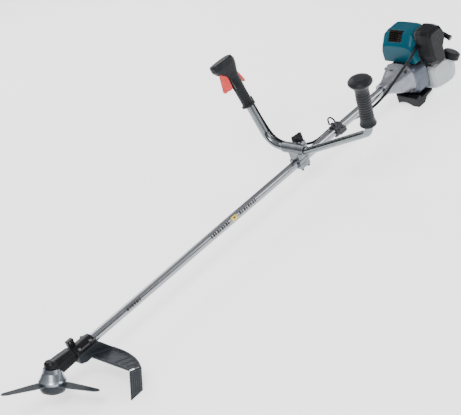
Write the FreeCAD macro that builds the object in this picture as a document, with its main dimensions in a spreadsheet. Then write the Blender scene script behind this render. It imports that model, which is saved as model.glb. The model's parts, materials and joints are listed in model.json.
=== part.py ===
import FreeCAD, Part
import math
import os
import re
import Sketcher

# Petrol brush cutter with a U handle.
# Working frame: the tube's axis is X (cutting head at -X, engine at +X), Z is up and the
# operator faces -X. Its origin is on the tube axis, below the handlebar's clamp. One rest
# placement then moves the whole machine onto the floor, so that it stands on its engine
# foot and on the guard's edge, with the centre of its outline over the row's origin.

V = FreeCAD.Vector
Rotation = FreeCAD.Rotation
Placement = FreeCAD.Placement

SIZES = [
    # the rest position
    ("rest_shift_along", 249.9914),
    ("rest_shift_across", 97.8212),
    ("tube_height", 106.0),
    # tube and drive shaft
    ("tube_diameter", 28.0),
    ("tube_wall", 1.5),
    ("tube_front", -1046.0),
    ("tube_back", 452.0),
    ("shaft_diameter", 8.0),
    ("shaft_front", -1072.0),
    ("shaft_back", 492.0),
    ("bush_length", 20.0),
    ("bush_count", 5),
    ("running_gap", 0.05),
    # cutting head
    ("blade_centre_along", -1097.5),
    ("blade_centre_up", -26.0),
    ("head_tilt", 22.6),
    ("gear_apex_up", 28.2),
    ("blade_radius", 155.0),
    ("blade_thickness", 1.8),
    ("blade_bore_radius", 12.7),
    ("skirt_radius", 39.5),
    ("nose_radius", 17.5),
    ("neck_radius", 17.5),
    ("cup_radius", 37.0),
    ("cup_bottom", -30.0),
    ("pinion_teeth", 14),
    ("gear_teeth", 19),
    # guard
    ("guard_radius", 265.0),
    ("guard_centre_along", -65.0),
    ("guard_centre_across", -50.0),
    ("guard_front", 117.0),
    ("guard_left_end", 193.0),
    ("guard_right_end", 70.0),
    ("guard_roof_up", 55.0),
    ("guard_wall", 3.0),
    ("guard_wall_bottom", 22.0),
    ("bracket_front", -1006.0),
    ("bracket_back", -929.0),
    ("bracket_half_width", 27.0),
    # handlebar
    ("bar_diameter", 24.0),
    ("bar_wall", 1.6),
    ("bar_height", 45.0),
    ("right_bend_across", 107.0),
    ("right_bend_radius", 62.0),
    ("right_lean", 15.7),
    ("right_end_up", 292.0),
    ("left_bend_across", -53.0),
    ("left_bend_radius", 60.0),
    ("left_rise", 20.7),
    ("left_corner_across", -347.0),
    ("left_corner_radius", 36.0),
    ("left_lean", 8.0),
    ("left_end_up", 284.0),
    # handlebar holder
    ("holder_half_length", 20.0),
    ("holder_half_width", 24.0),
    ("cap_half_width", 50.0),
    ("knob_along", 24.0),
    ("knob_radius", 22.0),
    # grips
    ("grip_radius", 21.0),
    ("grip_length", 163.0),
    ("palm_radius", 37.0),
    ("throttle_grip_up", 140.0),
    ("left_grip_up", 139.0),
    ("lever_thickness", 13.0),
    # hanger
    ("hanger_centre", 187.0),
    ("hanger_length", 31.0),
    ("hanger_radius", 21.0),
    ("hanger_pin_up", 24.0),
    ("ring_radius", 15.0),
    ("ring_wire_radius", 2.8),
    # engine
    ("collar_front", 424.0),
    ("collar_radius", 23.0),
    ("case_back", 528.0),
    ("case_half_width", 58.0),
    ("case_top", 42.0),
    ("case_bottom", -64.0),
    ("fan_case_back", 590.0),
    ("fan_case_half_width", 64.0),
    ("fan_case_top", 33.0),
    ("fan_case_bottom", -80.0),
    ("drum_radius", 34.0),
    ("flywheel_radius", 44.0),
    ("crank_radius", 7.5),
    ("crankcase_radius", 40.0),
    ("crankcase_back", 652.0),
    ("cylinder_bore_radius", 19.5),
    ("cover_front", 548.0),
    ("cover_back", 652.0),
    ("cover_half_width", 66.0),
    ("cover_bottom", 34.0),
    ("cover_top", 138.0),
    ("cover_wall", 2.5),
    ("starter_radius", 46.0),
    ("starter_front", 656.0),
    ("starter_back", 690.0),
    ("cap_radius", 29.0),
    # throttle cable
    ("cable_diameter", 9.0),
]


class Sizes:
    """The sheet's numbers, by name, for the code that needs them as plain values."""


doc = FreeCAD.newDocument("BrushCutter")
sheet = doc.addObject("Spreadsheet::Sheet", "Sizes")
size = Sizes()
for row, (alias, number) in enumerate(SIZES, start=1):
    sheet.set(f"A{row}", alias)
    sheet.set(f"B{row}", str(number))
    sheet.setAlias(f"B{row}", alias)
doc.recompute()
for alias, number in SIZES:
    setattr(size, alias, float(sheet.get(alias)))

REST = Placement(V(size.rest_shift_along, size.rest_shift_across, size.tube_height), Rotation())
TUBE = Placement()
HEAD = Placement(V(size.blade_centre_along, 0, size.blade_centre_up), Rotation(V(0, 1, 0), size.head_tilt))
BAR = Placement(V(0, 0, size.bar_height), Rotation())
subparts = []
fasteners = []
bearings = []


# ---------------------------------------------------------------- building helpers

def bind(item, **sizes):
    """Sets properties from numbers, or binds them to an expression of the sheet's names."""
    for prop, amount in sizes.items():
        if isinstance(amount, str):
            item.setExpression(prop, re.sub(r"[a-z][a-z_]+", r"Sizes.\g<0>", amount))
        else:
            setattr(item, prop, amount)


def place(piece, label, frame=TUBE):
    """Names a finished sub-part and sets it where it stands at rest."""
    piece.Label = label
    piece.Placement = REST.multiply(frame).multiply(piece.Placement)
    subparts.append(piece)
    return piece


def turn_to(direction):
    return Rotation(V(0, 0, 1), V(*direction))


def rod(radius, length, start=(0, 0, 0), along=(1, 0, 0), angle=360):
    """A cylinder from a start point along a direction."""
    item = doc.addObject("Part::Cylinder", "Rod")
    bind(item, Radius=radius, Height=length)
    item.Angle = angle
    item.Placement = Placement(V(*start), turn_to(along))
    return item


def taper(radius_start, radius_end, length, start=(0, 0, 0), along=(1, 0, 0)):
    item = doc.addObject("Part::Cone", "Taper")
    bind(item, Radius1=radius_start, Radius2=radius_end, Height=length)
    item.Placement = Placement(V(*start), turn_to(along))
    return item


def block(low, high):
    """A box between two opposite corners."""
    item = doc.addObject("Part::Box", "Block")
    item.Length, item.Width, item.Height = (high[i] - low[i] for i in range(3))
    item.Placement.Base = V(*low)
    return item


def fuse(*pieces):
    item = doc.addObject("Part::MultiFuse", "Joined")
    item.Shapes = list(pieces)
    return item


def group(*pieces):
    """Separate solids that share one node, such as a set of screws."""
    item = doc.addObject("Part::Compound", "Set")
    item.Links = list(pieces)
    return item


def cut(base, *tools):
    item = doc.addObject("Part::Cut", "Cut")
    item.Base = base
    item.Tool = tools[0] if len(tools) == 1 else fuse(*tools)
    return item


def cut_in_turn(base, *tools):
    """Cuts tool by tool, for tools that meet each other in awkward ways."""
    for tool in tools:
        base = cut(base, tool)
    return base


def common(first, second):
    item = doc.addObject("Part::Common", "Overlap")
    item.Base = first
    item.Tool = second
    return item


def moved(item, frame):
    """Sets a piece of a later boolean in another frame."""
    item.Placement = frame.multiply(item.Placement)
    return item


def rounded(base, radius, chosen):
    """Rounds the edges that the test picks."""
    doc.recompute()
    item = doc.addObject("Part::Fillet", "Rounded")
    item.Base = base
    edges = enumerate(base.Shape.Edges, start=1)
    item.Edges = [(number, radius, radius) for number, edge in edges if chosen(edge)]
    return item


def feature(shape, name="Formed"):
    item = doc.addObject("Part::Feature", name)
    item.Shape = shape
    return item


def origin_part(body, role):
    return next(item for item in body.Origin.OriginFeatures if item.Role == role)


def sketch_on(body, role):
    sketch = body.newObject("Sketcher::SketchObject", "Outline")
    sketch.AttachmentSupport = [(origin_part(body, role), "")]
    sketch.MapMode = "FlatFace"
    return sketch


def pin_down(sketch, kind, index, end, amount, guess):
    """Fixes one coordinate of a sketch point at a number or an expression."""
    if isinstance(amount, str):
        number = sketch.addConstraint(Sketcher.Constraint(kind, index, end, guess))
        sketch.setExpression(f"Constraints[{number}]", re.sub(r"[a-z][a-z_]+", r"Sizes.\g<0>", amount))
    else:
        sketch.addConstraint(Sketcher.Constraint(kind, index, end, float(amount)))


def outline(sketch, points):
    """Draws a closed outline of straight sides through points given as numbers or expressions."""
    guesses = []
    for number, (across, up) in enumerate(points):
        turn = 2 * math.pi * number / len(points)
        guess_across = 50 + 40 * math.cos(turn) if isinstance(across, str) else float(across)
        guess_up = 50 + 40 * math.sin(turn) if isinstance(up, str) else float(up)
        guesses.append((guess_across, guess_up))
    count = len(points)
    for number in range(count):
        start = V(*guesses[number], 0)
        end = V(*guesses[(number + 1) % count], 0)
        sketch.addGeometry(Part.LineSegment(start, end))
    for number, (across, up) in enumerate(points):
        sketch.addConstraint(Sketcher.Constraint("Coincident", number, 2, (number + 1) % count, 1))
        pin_down(sketch, "DistanceX", number, 1, across, guesses[number][0])
        pin_down(sketch, "DistanceY", number, 1, up, guesses[number][1])


def turned(name, points, axis="Z_Axis"):
    """A body turned from half its section: (radius, up) about Z, or (along, radius) about X."""
    body = doc.addObject("PartDesign::Body", name)
    sketch = sketch_on(body, "XZ_Plane")
    outline(sketch, points)
    turning = body.newObject("PartDesign::Revolution", "Turning")
    turning.Profile = sketch
    turning.ReferenceAxis = (origin_part(body, axis), [""])
    turning.Angle = 360
    return body


def padded(name, points, thickness, role="XY_Plane", both_ways=False, backwards=False):
    """A body of even thickness raised from an outline."""
    body = doc.addObject("PartDesign::Body", name)
    sketch = sketch_on(body, role)
    outline(sketch, points)
    pad = body.newObject("PartDesign::Pad", "Pad")
    pad.Profile = sketch
    bind(pad, Length=thickness)
    pad.Midplane = both_ways
    pad.Reversed = backwards
    return body


def oval_wire(across, up_low, up_high, squareness=2.0, centre_across=0.0, points=32):
    """A closed smooth loop in the local XY plane, from circle (2) towards rectangle (5)."""
    middle = (up_low + up_high) / 2
    half_up = (up_high - up_low) / 2
    corners = []
    for number in range(points):
        turn = 2 * math.pi * (number + 0.5) / points
        cosine, sine = math.cos(turn), math.sin(turn)
        x = centre_across + across * math.copysign(abs(cosine) ** (2 / squareness), cosine)
        y = middle + half_up * math.copysign(abs(sine) ** (2 / squareness), sine)
        corners.append(V(x, y, 0))
    loop = Part.BSplineCurve()
    loop.interpolate(Points=corners, PeriodicFlag=True)
    return Part.Wire([loop.toShape()])


def loft(sections, ruled=False):
    """A solid through (placement, wire) sections, smooth or with straight walls between them."""
    wires = []
    for frame, wire in sections:
        wire = wire.copy()
        wire.Placement = frame
        wires.append(wire)
    return Part.makeLoft(wires, True, ruled)


ALONG_X = Rotation(V(0, 1, 0), V(0, 0, 1), V(1, 0, 0), "ZXY")


def station(along, up=0.0, across=0.0):
    """A section plane across the tube: local X is machine Y and local Y is machine Z."""
    return Placement(V(along, across, up), ALONG_X)


def tube_path(points):
    """Straight runs joined by tangent arcs, each as large as its two runs allow."""
    points = [V(*point) for point in points]
    edges = []
    start = points[0]
    radii = []
    for before, corner, after in zip(points, points[1:], points[2:]):
        into = (corner - before).normalize()
        out = (after - corner).normalize()
        turn = into.getAngle(out)
        shorter = min((corner - before).Length, (after - corner).Length)
        reach = 0.45 * shorter
        first = corner - into * reach
        last = corner + out * reach
        radius = reach / math.tan(turn / 2)
        radii.append(radius)
        middle_way = (out - into).normalize()
        middle = corner + middle_way * (radius / math.cos(turn / 2) - radius)
        edges.append(Part.LineSegment(start, first).toShape())
        edges.append(Part.Arc(first, middle, last).toShape())
        start = last
    edges.append(Part.LineSegment(start, points[-1]).toShape())
    print("cord radii", [round(radius) for radius in radii])
    return Part.Wire(edges)


def swept(path, radius):
    """A round solid along a path."""
    start = path.Edges[0]
    direction = start.tangentAt(start.FirstParameter)
    circle = Part.Wire([Part.Circle(start.valueAt(start.FirstParameter), direction, radius).toShape()])
    solid = path.makePipeShell([circle], True, False)
    expected = math.pi * radius ** 2 * path.Length
    print("cord volume over section times length", round(solid.Volume / expected, 4))
    return solid


# ---------------------------------------------------------------- cutting head

def make_gear_case():
    """Cast case: the nose round the gears, the skirt over the blade and the tube socket."""
    outside = turned("GearCaseOutside", [
        (0, 2), ("skirt_radius", 2), ("skirt_radius", 8), ("skirt_radius - 3.5", 13),
        (27, 32), (24.6, 44), ("nose_radius", 45), ("nose_radius", 57), ("nose_radius - 3.5", 60), (0, 60)])
    inside = turned("GearCaseInside", [
        (0, -1), (36, -1), (35, 8), (14, 11), (14, 16), (17.5, 16), (17.5, 26),
        (14.2, 31), (14.2, 50.2), (11, 50.2), (11, 57.2), (0, 57.2)])
    apex = size.blade_centre_along + size.gear_apex_up * math.sin(math.radians(size.head_tilt))
    neck = rod("neck_radius", -1008 - apex - 8, (apex + 8, 0, 0))
    pinion_room = rod(12, 22, (apex + 2, 0, 0))
    bearing_seat = rod(11, 20, (-1067, 0, 0))
    socket = rod("tube_diameter / 2", 40, (size.tube_front, 0, 0))
    shaft_way = rod("shaft_diameter / 2 + 0.5", 6, (-1049, 0, 0))
    shell = fuse(moved(outside, HEAD), neck)
    rooms = [moved(inside, HEAD), pinion_room, bearing_seat, shaft_way, socket]
    place(cut(shell, *rooms), "gear_case")


def make_gear_case_cover():
    """Black cover over the top of the nose and along the neck to the guard's clamp."""
    nose = turned("CoverNose", [(0, 45.4), (21, 45.4), (21, 58), (16.5, 64), (0, 64.5)])
    arm = feature(loft([
        (station(-1082), oval_wire(24, -40, 34, 3.0)),
        (station(-1050), oval_wire(23.5, -34, 32, 3.0)),
        (station(-1008), oval_wire(22, -30, 28, 3.0))], ruled=True), "CoverArm")
    upper = block((-1090, -40, -9), (-1000, 40, 60))
    nose_room = moved(rod("nose_radius + 0.4", 60.4, (0, 0, 0), (0, 0, 1)), HEAD)
    cone_room = moved(taper(41, 25, 35, (0, 0, 10), (0, 0, 1)), HEAD)
    neck_room = rod("neck_radius + 0.4", 100, (-1092, 0, 0))
    inner = size.neck_radius + 0.4
    under_room = block((-1092, -inner, -60), (-1000, inner, 0))
    shape = fuse(moved(nose, HEAD), common(arm, upper))
    place(cut_in_turn(shape, nose_room, cone_room, neck_room, under_room), "gear_case_cover")


def bevel_teeth(big_radius, small_radius, face, teeth, bore):
    """A bevel gear from z = 0 (big end) to its face width, its teeth cut as wedges."""
    blank = Part.makeCone(big_radius, small_radius, face)
    hub = Part.makeCylinder(bore, face)
    gaps = []
    for number in range(teeth):
        half = math.pi / teeth / 2
        wedge = Part.makePolygon([
            V(big_radius * 0.72, 0, -1), V(big_radius * 1.3, -math.tan(half) * big_radius * 1.5, -1),
            V(big_radius * 1.3, math.tan(half) * big_radius * 1.5, -1), V(big_radius * 0.72, 0, -1)])
        prism = Part.Face(wedge).extrude(V((small_radius - big_radius) * 0.7, 0, face + 2))
        prism.rotate(V(0, 0, 0), V(0, 0, 1), 360 * number / teeth)
        gaps.append(prism)
    return blank.cut(gaps[0].multiFuse(gaps[1:])).cut(hub)


def make_gears():
    """The pinion on the drive shaft and the bevel gear on the output shaft, set just apart."""
    tilt = math.radians(size.head_tilt)
    apex = V(size.blade_centre_along + size.gear_apex_up * math.sin(tilt), 0, 0)
    shaft_angle = math.pi / 2 - tilt
    ratio = size.gear_teeth / size.pinion_teeth
    pinion_cone = math.atan(math.sin(shaft_angle) / (ratio + math.cos(shaft_angle)))
    gear_cone = shaft_angle - pinion_cone
    far, near = 21.0, 14.0
    inset = 0.5
    pinion = bevel_teeth(
        far * math.sin(pinion_cone) - inset, near * math.sin(pinion_cone) - inset,
        (far - near) * math.cos(pinion_cone), int(size.pinion_teeth), size.shaft_diameter / 2)
    where = apex + V(far * math.cos(pinion_cone), 0, 0)
    pinion.Placement = Placement(where, turn_to((-1, 0, 0)))
    place(feature(pinion, "Pinion"), "pinion_gear")
    gear = bevel_teeth(
        far * math.sin(gear_cone) - inset, near * math.sin(gear_cone) - inset,
        (far - near) * math.cos(gear_cone), int(size.gear_teeth), 5.0)
    height = size.gear_apex_up + far * math.cos(gear_cone)
    backing = Part.makeCylinder(11.5, 5, V(0, 0, height)).cut(Part.makeCylinder(5, 5, V(0, 0, height)))
    gear.Placement = Placement(V(0, 0, height), turn_to((0, 0, -1)))
    place(feature(gear.fuse(backing).removeSplitter(), "BevelGear"), "bevel_gear", HEAD)


def make_output_shaft():
    """Stepped shaft: thread below, blade seat, bearings, gear seat."""
    shaft = turned("OutputShaft", [
        (0, -24), (5, -24), (5, -3), (7.5, -3), (7.5, 29.5), (5, 29.5), (5, 56.8), (0, 56.8)])
    place(shaft, "output_shaft", HEAD)
    for seat, bore, start, width in ((17.45, 7.5, 16.3, 9.5), (10.95, 5, 50.4, 6)):
        outer = rod(seat, width, (0, 0, start), (0, 0, 1))
        inner = rod(f"{bore} + running_gap", width, (0, 0, start), (0, 0, 1))
        bearings.append(moved(cut(outer, inner), HEAD))
    for front in (-1066.5, -1057.0):
        outer = rod(10.95, 7, (front, 0, 0))
        bearings.append(cut(outer, rod("shaft_diameter / 2 + running_gap", 7, (front, 0, 0))))


def blade_tooth_outline():
    """One of the three teeth in plan: root, cutting edge, square tip and back edge."""
    return [(12, -31), (35, -28), (60, -23), (135, -14), (149, -10), ("blade_radius", -3),
            ("blade_radius", 3), (149, 10), (135, 14), (60, 23), (35, 28), (12, 31)]


def make_cutter():
    """Three-tooth steel blade with its washers, ground cup and left-hand nut."""
    thick = size.blade_thickness
    teeth = []
    for turn in (0, 120, 240):
        tooth = padded("Tooth", blade_tooth_outline(), "blade_thickness", both_ways=True)
        tooth.Placement = Placement(V(0, 0, 0), Rotation(V(0, 0, 1), turn + 48))
        teeth.append(tooth)
    hub = rod(36, "blade_thickness", (0, 0, -thick / 2), (0, 0, 1))
    bore = rod("blade_bore_radius", 6, (0, 0, -3), (0, 0, 1))
    place(cut(fuse(hub, *teeth), bore), "cutter_blade", HEAD)
    seat = turned("ReceiverWasher", [
        (7.5, 0.95), (33, 0.95), (34, 1.8), (34, 3.2), (20, 5), (12, 9), (7.5, 9)])
    spigot = cut(rod(12.65, 1.75, (0, 0, -0.8), (0, 0, 1)), rod(7.5, 1.75, (0, 0, -0.8), (0, 0, 1)))
    washer = turned("ClampWasher", [
        (7.5, -0.95), (30, -0.95), (30, -2.2), (20, -3.4), (5, -3.4), (5, -3.0), (7.5, -3.0)])
    place(group(fuse(seat, spigot), washer), "blade_washers", HEAD)
    cup = turned("BladeCup", [
        (5, -3.5), (20, -3.5), (31, -2.4), (36, -2.4), ("cup_radius", -6), ("cup_radius", -16),
        ("cup_radius - 3", -23), ("cup_radius - 14", "cup_bottom + 1.5"), ("cup_radius - 24", "cup_bottom"),
        (11, "cup_bottom"), (11, -8.5), (5, -8.5)])
    place(cup, "blade_cup", HEAD)
    nut = turned("NutRound", [(5, -8.6), (10.5, -8.6), (10.5, -10.5), (8.6, -11.5), (8.6, -19), (5, -19)])
    hexagon = doc.addObject("Part::Prism", "Hexagon")
    hexagon.Polygon = 6
    hexagon.Circumradius = 8.8
    hexagon.Height = 10.4
    hexagon.Placement.Base = V(0, 0, -19)
    place(common(nut, fuse(hexagon, rod(10.6, 3, (0, 0, -11.5), (0, 0, 1)))), "blade_nut", HEAD)


def guard_plan(radius, front, left_end, right_end):
    """The guard's plan in the head frame: straight front edge and ends, round outer rim."""
    centre = V(size.guard_centre_along, size.guard_centre_across, 0)

    def on_rim(across):
        return V(centre.x + math.sqrt(radius ** 2 - (across - centre.y) ** 2), across, 0)

    left, right = on_rim(-left_end), on_rim(right_end)
    corners = [right, V(front, right_end, 0), V(front, -left_end, 0), left]
    edges = [Part.LineSegment(*pair).toShape() for pair in zip(corners, corners[1:])]
    edges.append(Part.Arc(left, on_rim((right_end - left_end) / 2), right).toShape())
    return Part.Face(Part.Wire(edges))


def make_guard():
    """Plastic guard behind the blade: roof, outer wall, gusset and the lower half of its bracket."""
    radius, front = size.guard_radius, size.guard_front
    left, right = size.guard_left_end, size.guard_right_end
    roof_up, wall = size.guard_roof_up, size.guard_wall
    plan = guard_plan(radius, front, left, right)
    roof = plan.extrude(V(0, 0, wall + 1))
    roof.translate(V(0, 0, roof_up - wall - 1))
    skirt = plan.extrude(V(0, 0, roof_up - size.guard_wall_bottom))
    skirt.translate(V(0, 0, size.guard_wall_bottom))
    skirt = skirt.cut(guard_plan(radius - wall, front - 60, left + 12, right + 12).extrude(V(0, 0, 80)))
    bead = plan.extrude(V(0, 0, 3))
    bead.translate(V(0, 0, roof_up))
    bead = bead.cut(guard_plan(radius - 6, front - 60, left + 8, right + 8).extrude(V(0, 0, 90)))
    lip = Part.makeBox(wall, left + right, 5, V(front, -left, roof_up - wall - 5))
    low = [V(119, -108, roof_up), V(142, -96, roof_up), V(160, -74, roof_up), V(180, -24, roof_up),
           V(190, 44, roof_up), V(119, 44, roof_up)]
    high = [V(124, -90, roof_up + 5), V(134, -84, roof_up + 6), V(148, -62, roof_up + 9),
            V(162, -20, roof_up + 11), V(170, 34, roof_up + 11), V(124, 34, roof_up + 7)]
    gusset = Part.makeLoft([Part.makePolygon(ring + ring[:1]) for ring in (low, high)], True, True)
    shell = roof.fuse([skirt, bead, lip, gusset]).removeSplitter()
    shell.Placement = HEAD
    front_x, back_x, half = size.bracket_front, size.bracket_back, size.bracket_half_width
    side = [V(front_x, 0, -0.3), V(back_x, 0, -0.3), V(back_x + 10, 0, -12), V(-890, 0, -52),
            V(-957, 0, -30), V(-985, 0, -32), V(front_x, 0, -24)]
    bracket = Part.Face(Part.makePolygon(side + side[:1])).extrude(V(0, 2 * half, 0))
    bracket.translate(V(0, -half, 0))
    bore = Part.makeCylinder(size.tube_diameter / 2, 200, V(-1040, 0, 0), V(1, 0, 0))
    screw_holes = [Part.makeCylinder(2.6, 24, V(x, y, -16), V(0, 0, 1)) for x, y in guard_screw_spots()]
    shape = shell.fuse(bracket).cut([bore] + screw_holes).removeSplitter()
    place(feature(shape, "Guard"), "guard")


def guard_screw_spots():
    return [(x, y) for x in (-990, -947) for y in (-21, 21)]


def make_guard_clamp():
    """Upper half of the guard's bracket: a dome with two bolt shoulders and a lifting lug."""
    front_x, half = size.bracket_front, size.bracket_half_width
    length = size.bracket_back - front_x
    dome = rod(21, length - 6, (front_x + 3, 0, 1))
    shoulders = block((front_x, -half, 0.3), (front_x + length, half, 11))
    top = block((front_x - 5, -40, 0.3), (front_x + length + 5, 40, 50))
    shoulders = rounded(shoulders, 5.0, lambda edge: edge.BoundBox.ZLength > 10)
    shape = common(fuse(dome, shoulders), top)
    lug = cut(block((-1002, 4, 18), (-980, 18, 41)), rod(5, 40, (-991, 0, 33), (0, 1, 0)))
    bore = rod("tube_diameter / 2", 200, (-1040, 0, 0))
    holes = [rod(2.6, 30, (x, y, -5), (0, 0, 1)) for x, y in guard_screw_spots()]
    pockets = [rod(4.8, 20, (x, y, 11), (0, 0, 1)) for x, y in guard_screw_spots()]
    place(cut_in_turn(fuse(shape, lug), bore, *holes, *pockets), "guard_clamp")
    for x, y in guard_screw_spots():
        head = cut(rod(4.5, 5, (x, y, 11), (0, 0, 1)), rod(2, 3, (x, y, 13.5), (0, 0, 1)))
        fasteners.append(fuse(head, rod(2.5, 25, (x, y, -13), (0, 0, 1))))


def make_guard_extension():
    """Deeper skirt on the guard's left end, level with the floor, with a ribbed end panel."""
    radius, left, front = size.guard_radius + 0.3, size.guard_left_end, size.guard_front
    band = guard_plan(radius + 3, front, left + 3, -128).extrude(V(0, 0, 96))
    band.translate(V(0, 0, -48))
    room = guard_plan(radius, front - 60, left + 0.3, -100).extrude(V(0, 0, 140))
    room.translate(V(0, 0, -60))
    front_gap = Part.makeBox(60, 400, 200, V(front - 40, -left - 0.2, -80))
    band = band.cut([room, front_gap])
    ribs = [Part.makeBox(2.2, 1.6, 62, V(front + 5 + 7 * number, -left - 4.4, -20)) for number in range(5)]
    lip = Part.makeBox(40, 7, 3, V(front, -left - 8, 44))
    shape = band.fuse(ribs + [lip]).removeSplitter()
    shape.Placement = HEAD
    floor = Part.makeBox(600, 800, 200, V(-1300, -400, -size.tube_height))
    sweep_up = Part.Face(Part.makePolygon([
        V(-1200, -164, -130), V(-1200, -152, -106), V(-1200, -126, -80), V(-1200, -100, -76),
        V(-1200, -100, -130), V(-1200, -164, -130)])).extrude(V(600, 0, 0))
    shape = shape.common(floor).cut(sweep_up)
    place(feature(shape, "GuardExtension"), "guard_extension")
    knife = Part.makeBox(22, 1.6, 20, V(front + 10, -left + 0.6, -6))
    tab = Part.makeBox(12, 1.6, 10, V(front + 15, -left + 0.6, 14))
    place(feature(knife.fuse(tab).removeSplitter(), "LineCutter"), "line_cutter", HEAD)


# ---------------------------------------------------------------- tube and shaft

def make_tube():
    """Aluminium tube with the drive shaft in its plastic bushes."""
    tube = doc.addObject("PartDesign::Body", "MainTube")
    sketch = sketch_on(tube, "YZ_Plane")
    for number, radius in enumerate(("tube_diameter / 2", "tube_diameter / 2 - tube_wall")):
        sketch.addGeometry(Part.Circle(V(0, 0, 0), V(0, 0, 1), 14 - number))
        sketch.addConstraint(Sketcher.Constraint("Coincident", number, 3, -1, 1))
        pin_down_radius(sketch, number, radius)
    pad = tube.newObject("PartDesign::Pad", "Length")
    pad.Profile = sketch
    bind(pad, Length="tube_back - tube_front")
    place(tube, "main_tube", Placement(V(size.tube_front, 0, 0), Rotation()))
    shaft = rod("shaft_diameter / 2", "shaft_back - shaft_front", (size.shaft_front, 0, 0))
    place(shaft, "drive_shaft")
    bushes = []
    gap = (size.tube_back - size.tube_front) / (size.bush_count + 1)
    for number in range(int(size.bush_count)):
        front = (size.tube_front + gap * (number + 1), 0, 0)
        outer = rod("tube_diameter / 2 - tube_wall - 0.02", "bush_length", front)
        bushes.append(cut(outer, rod("shaft_diameter / 2 + running_gap", "bush_length", front)))
    place(group(*bushes), "shaft_bushes")


def pin_down_radius(sketch, index, radius):
    number = sketch.addConstraint(Sketcher.Constraint("Radius", index, 10.0 - index))
    sketch.setExpression(f"Constraints[{number}]", re.sub(r"[a-z][a-z_]+", r"Sizes.\g<0>", radius))


def make_hanger():
    """Shoulder-strap clamp, split on its left side, with a swinging D-ring in its top lug."""
    centre, length = size.hanger_centre, size.hanger_length
    front = centre - length / 2
    pin_up = size.hanger_pin_up
    outside = fuse(rod("hanger_radius", "hanger_length", (front, 0, 0)),
                   block((front, -30, -8), (front + length, -12, 8)),
                   block((front, -5, 12), (front + 10, 5, pin_up + 5)))
    bore = rod("tube_diameter / 2", 60, (front - 10, 0, 0))
    pin_hole = rod("ring_wire_radius - 0.4 + running_gap", 20, (front + 5, -10, pin_up), (0, 1, 0))
    split = block((front - 5, -40, -0.6), (front + 40, 0, 0.6))
    spots = (centre - 7, centre + 7)
    screws = [rod(2.6, 40, (x, -24, -20), (0, 0, 1)) for x in spots]
    place(cut_in_turn(outside, bore, pin_hole, split, *screws), "hanger_clamp")
    for x in spots:
        head = cut(rod(4.2, 4, (x, -24, 8), (0, 0, 1)), rod(2, 2.5, (x, -24, 9.5), (0, 0, 1)))
        fasteners.append(fuse(head, rod(2.5, 16, (x, -24, -8), (0, 0, 1))))
    wire, radius = size.ring_wire_radius, size.ring_radius
    arch = Part.makeTorus(radius, wire, V(), V(0, 0, 1), 0, 360, 180)
    arch.Placement = Placement(V(0, 0, radius - 4), ALONG_X)
    legs = [Part.makeCylinder(wire, radius - 4 + wire, V(0, y, -wire)) for y in (-radius, radius)]
    bar = Part.makeCylinder(wire - 0.4, 2 * radius, V(0, -radius, 0), V(0, 1, 0))
    ring = feature(arch.fuse(legs + [bar]).removeSplitter(), "Ring")
    place(ring, "hanger_ring", Placement(V(front + 5, 0, pin_up), Rotation()))


# ---------------------------------------------------------------- handlebar and its holder

def make_holder():
    """Aluminium clamp block on the tube with a saddle and cap for the handlebar."""
    half_x, half_y, up = size.holder_half_length, size.holder_half_width, size.bar_height
    tube_bore = rod("tube_diameter / 2", 80, (-40, 0, 0))
    bar_room = rod("bar_diameter / 2 + running_gap", 200, (0, -100, up), (0, 1, 0))
    saddle = rod(17, 92, (0, -42, up), (0, 1, 0))
    lug = block((8, -14, 16), (38, 14, up - 0.4))
    column = block((3 - half_x, 3 - half_y, 0.4), (half_x - 1, half_y - 3, up - 6))
    foot = block((-half_x, -half_y, 0.4), (half_x, half_y, 12))
    body = rounded(fuse(foot, column), 2.0, lambda edge: edge.BoundBox.ZLength > 8)
    stud_hole = rod(4.3, 80, (size.knob_along, 0, 10), (0, 0, 1))
    bolts = [rod(2.6, 40, (x, y, -25), (0, 0, 1)) for x, y in holder_bolt_spots()]
    above = block((-60, -60, up - 0.4), (60, 60, up + 60))
    below = block((-60, -60, up - 60), (60, 60, up + 0.4))
    place(cut(fuse(body, saddle, lug), tube_bore, bar_room, above, stud_hole, *bolts), "handle_holder")
    boss = block((6, -13, up + 0.4), (38, 13, up + 12))
    crown = taper(12.5, 10, 5, (size.knob_along, 0, up + 12), (0, 0, 1))
    cap = fuse(rod(17, 92, (0, -42, up), (0, 1, 0)), boss, crown)
    cap_stud_hole = rod(4.3, 80, (size.knob_along, 0, 10), (0, 0, 1))
    bar_room = rod("bar_diameter / 2 + running_gap", 200, (0, -100, up), (0, 1, 0))
    place(cut(cap, bar_room, below, cap_stud_hole), "handle_clamp_cap")
    lower = block((-half_x, -half_y, -17.5), (half_x, half_y, -0.4))
    bolts = [rod(2.6, 40, (x, y, -25), (0, 0, 1)) for x, y in holder_bolt_spots()]
    lower = rounded(lower, 5.0, lambda edge: edge.BoundBox.ZMax < -16 and edge.BoundBox.XLength > 20)
    place(cut(lower, rod("tube_diameter / 2", 80, (-40, 0, 0)), *bolts), "tube_clamp_cap")
    for x, y in holder_bolt_spots():
        head = cut(rod(4.2, 5, (x, y, -22.5), (0, 0, 1)), rod(2, 3, (x, y, -22.5), (0, 0, 1)))
        fasteners.append(fuse(head, rod(2.5, 30, (x, y, -18), (0, 0, 1))))


def holder_bolt_spots():
    return [(x, y) for x in (-14, 14) for y in (-18, 18)]


def make_knob():
    """Black three-lobed knob on its stud."""
    base = size.bar_height + 18
    lobes = []
    for turn in (20, 140, 260):
        reach = size.knob_radius - 8
        x = size.knob_along + reach * math.cos(math.radians(turn))
        y = reach * math.sin(math.radians(turn))
        lobes.append(taper(8, 7, 16, (x, y, base), (0, 0, 1)))
    hub = rod(13, 16, (size.knob_along, 0, base), (0, 0, 1))
    stud = rod(4.0, base - 8, (size.knob_along, 0, 18), (0, 0, 1))
    place(fuse(hub, stud, *lobes), "clamp_knob")


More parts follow.
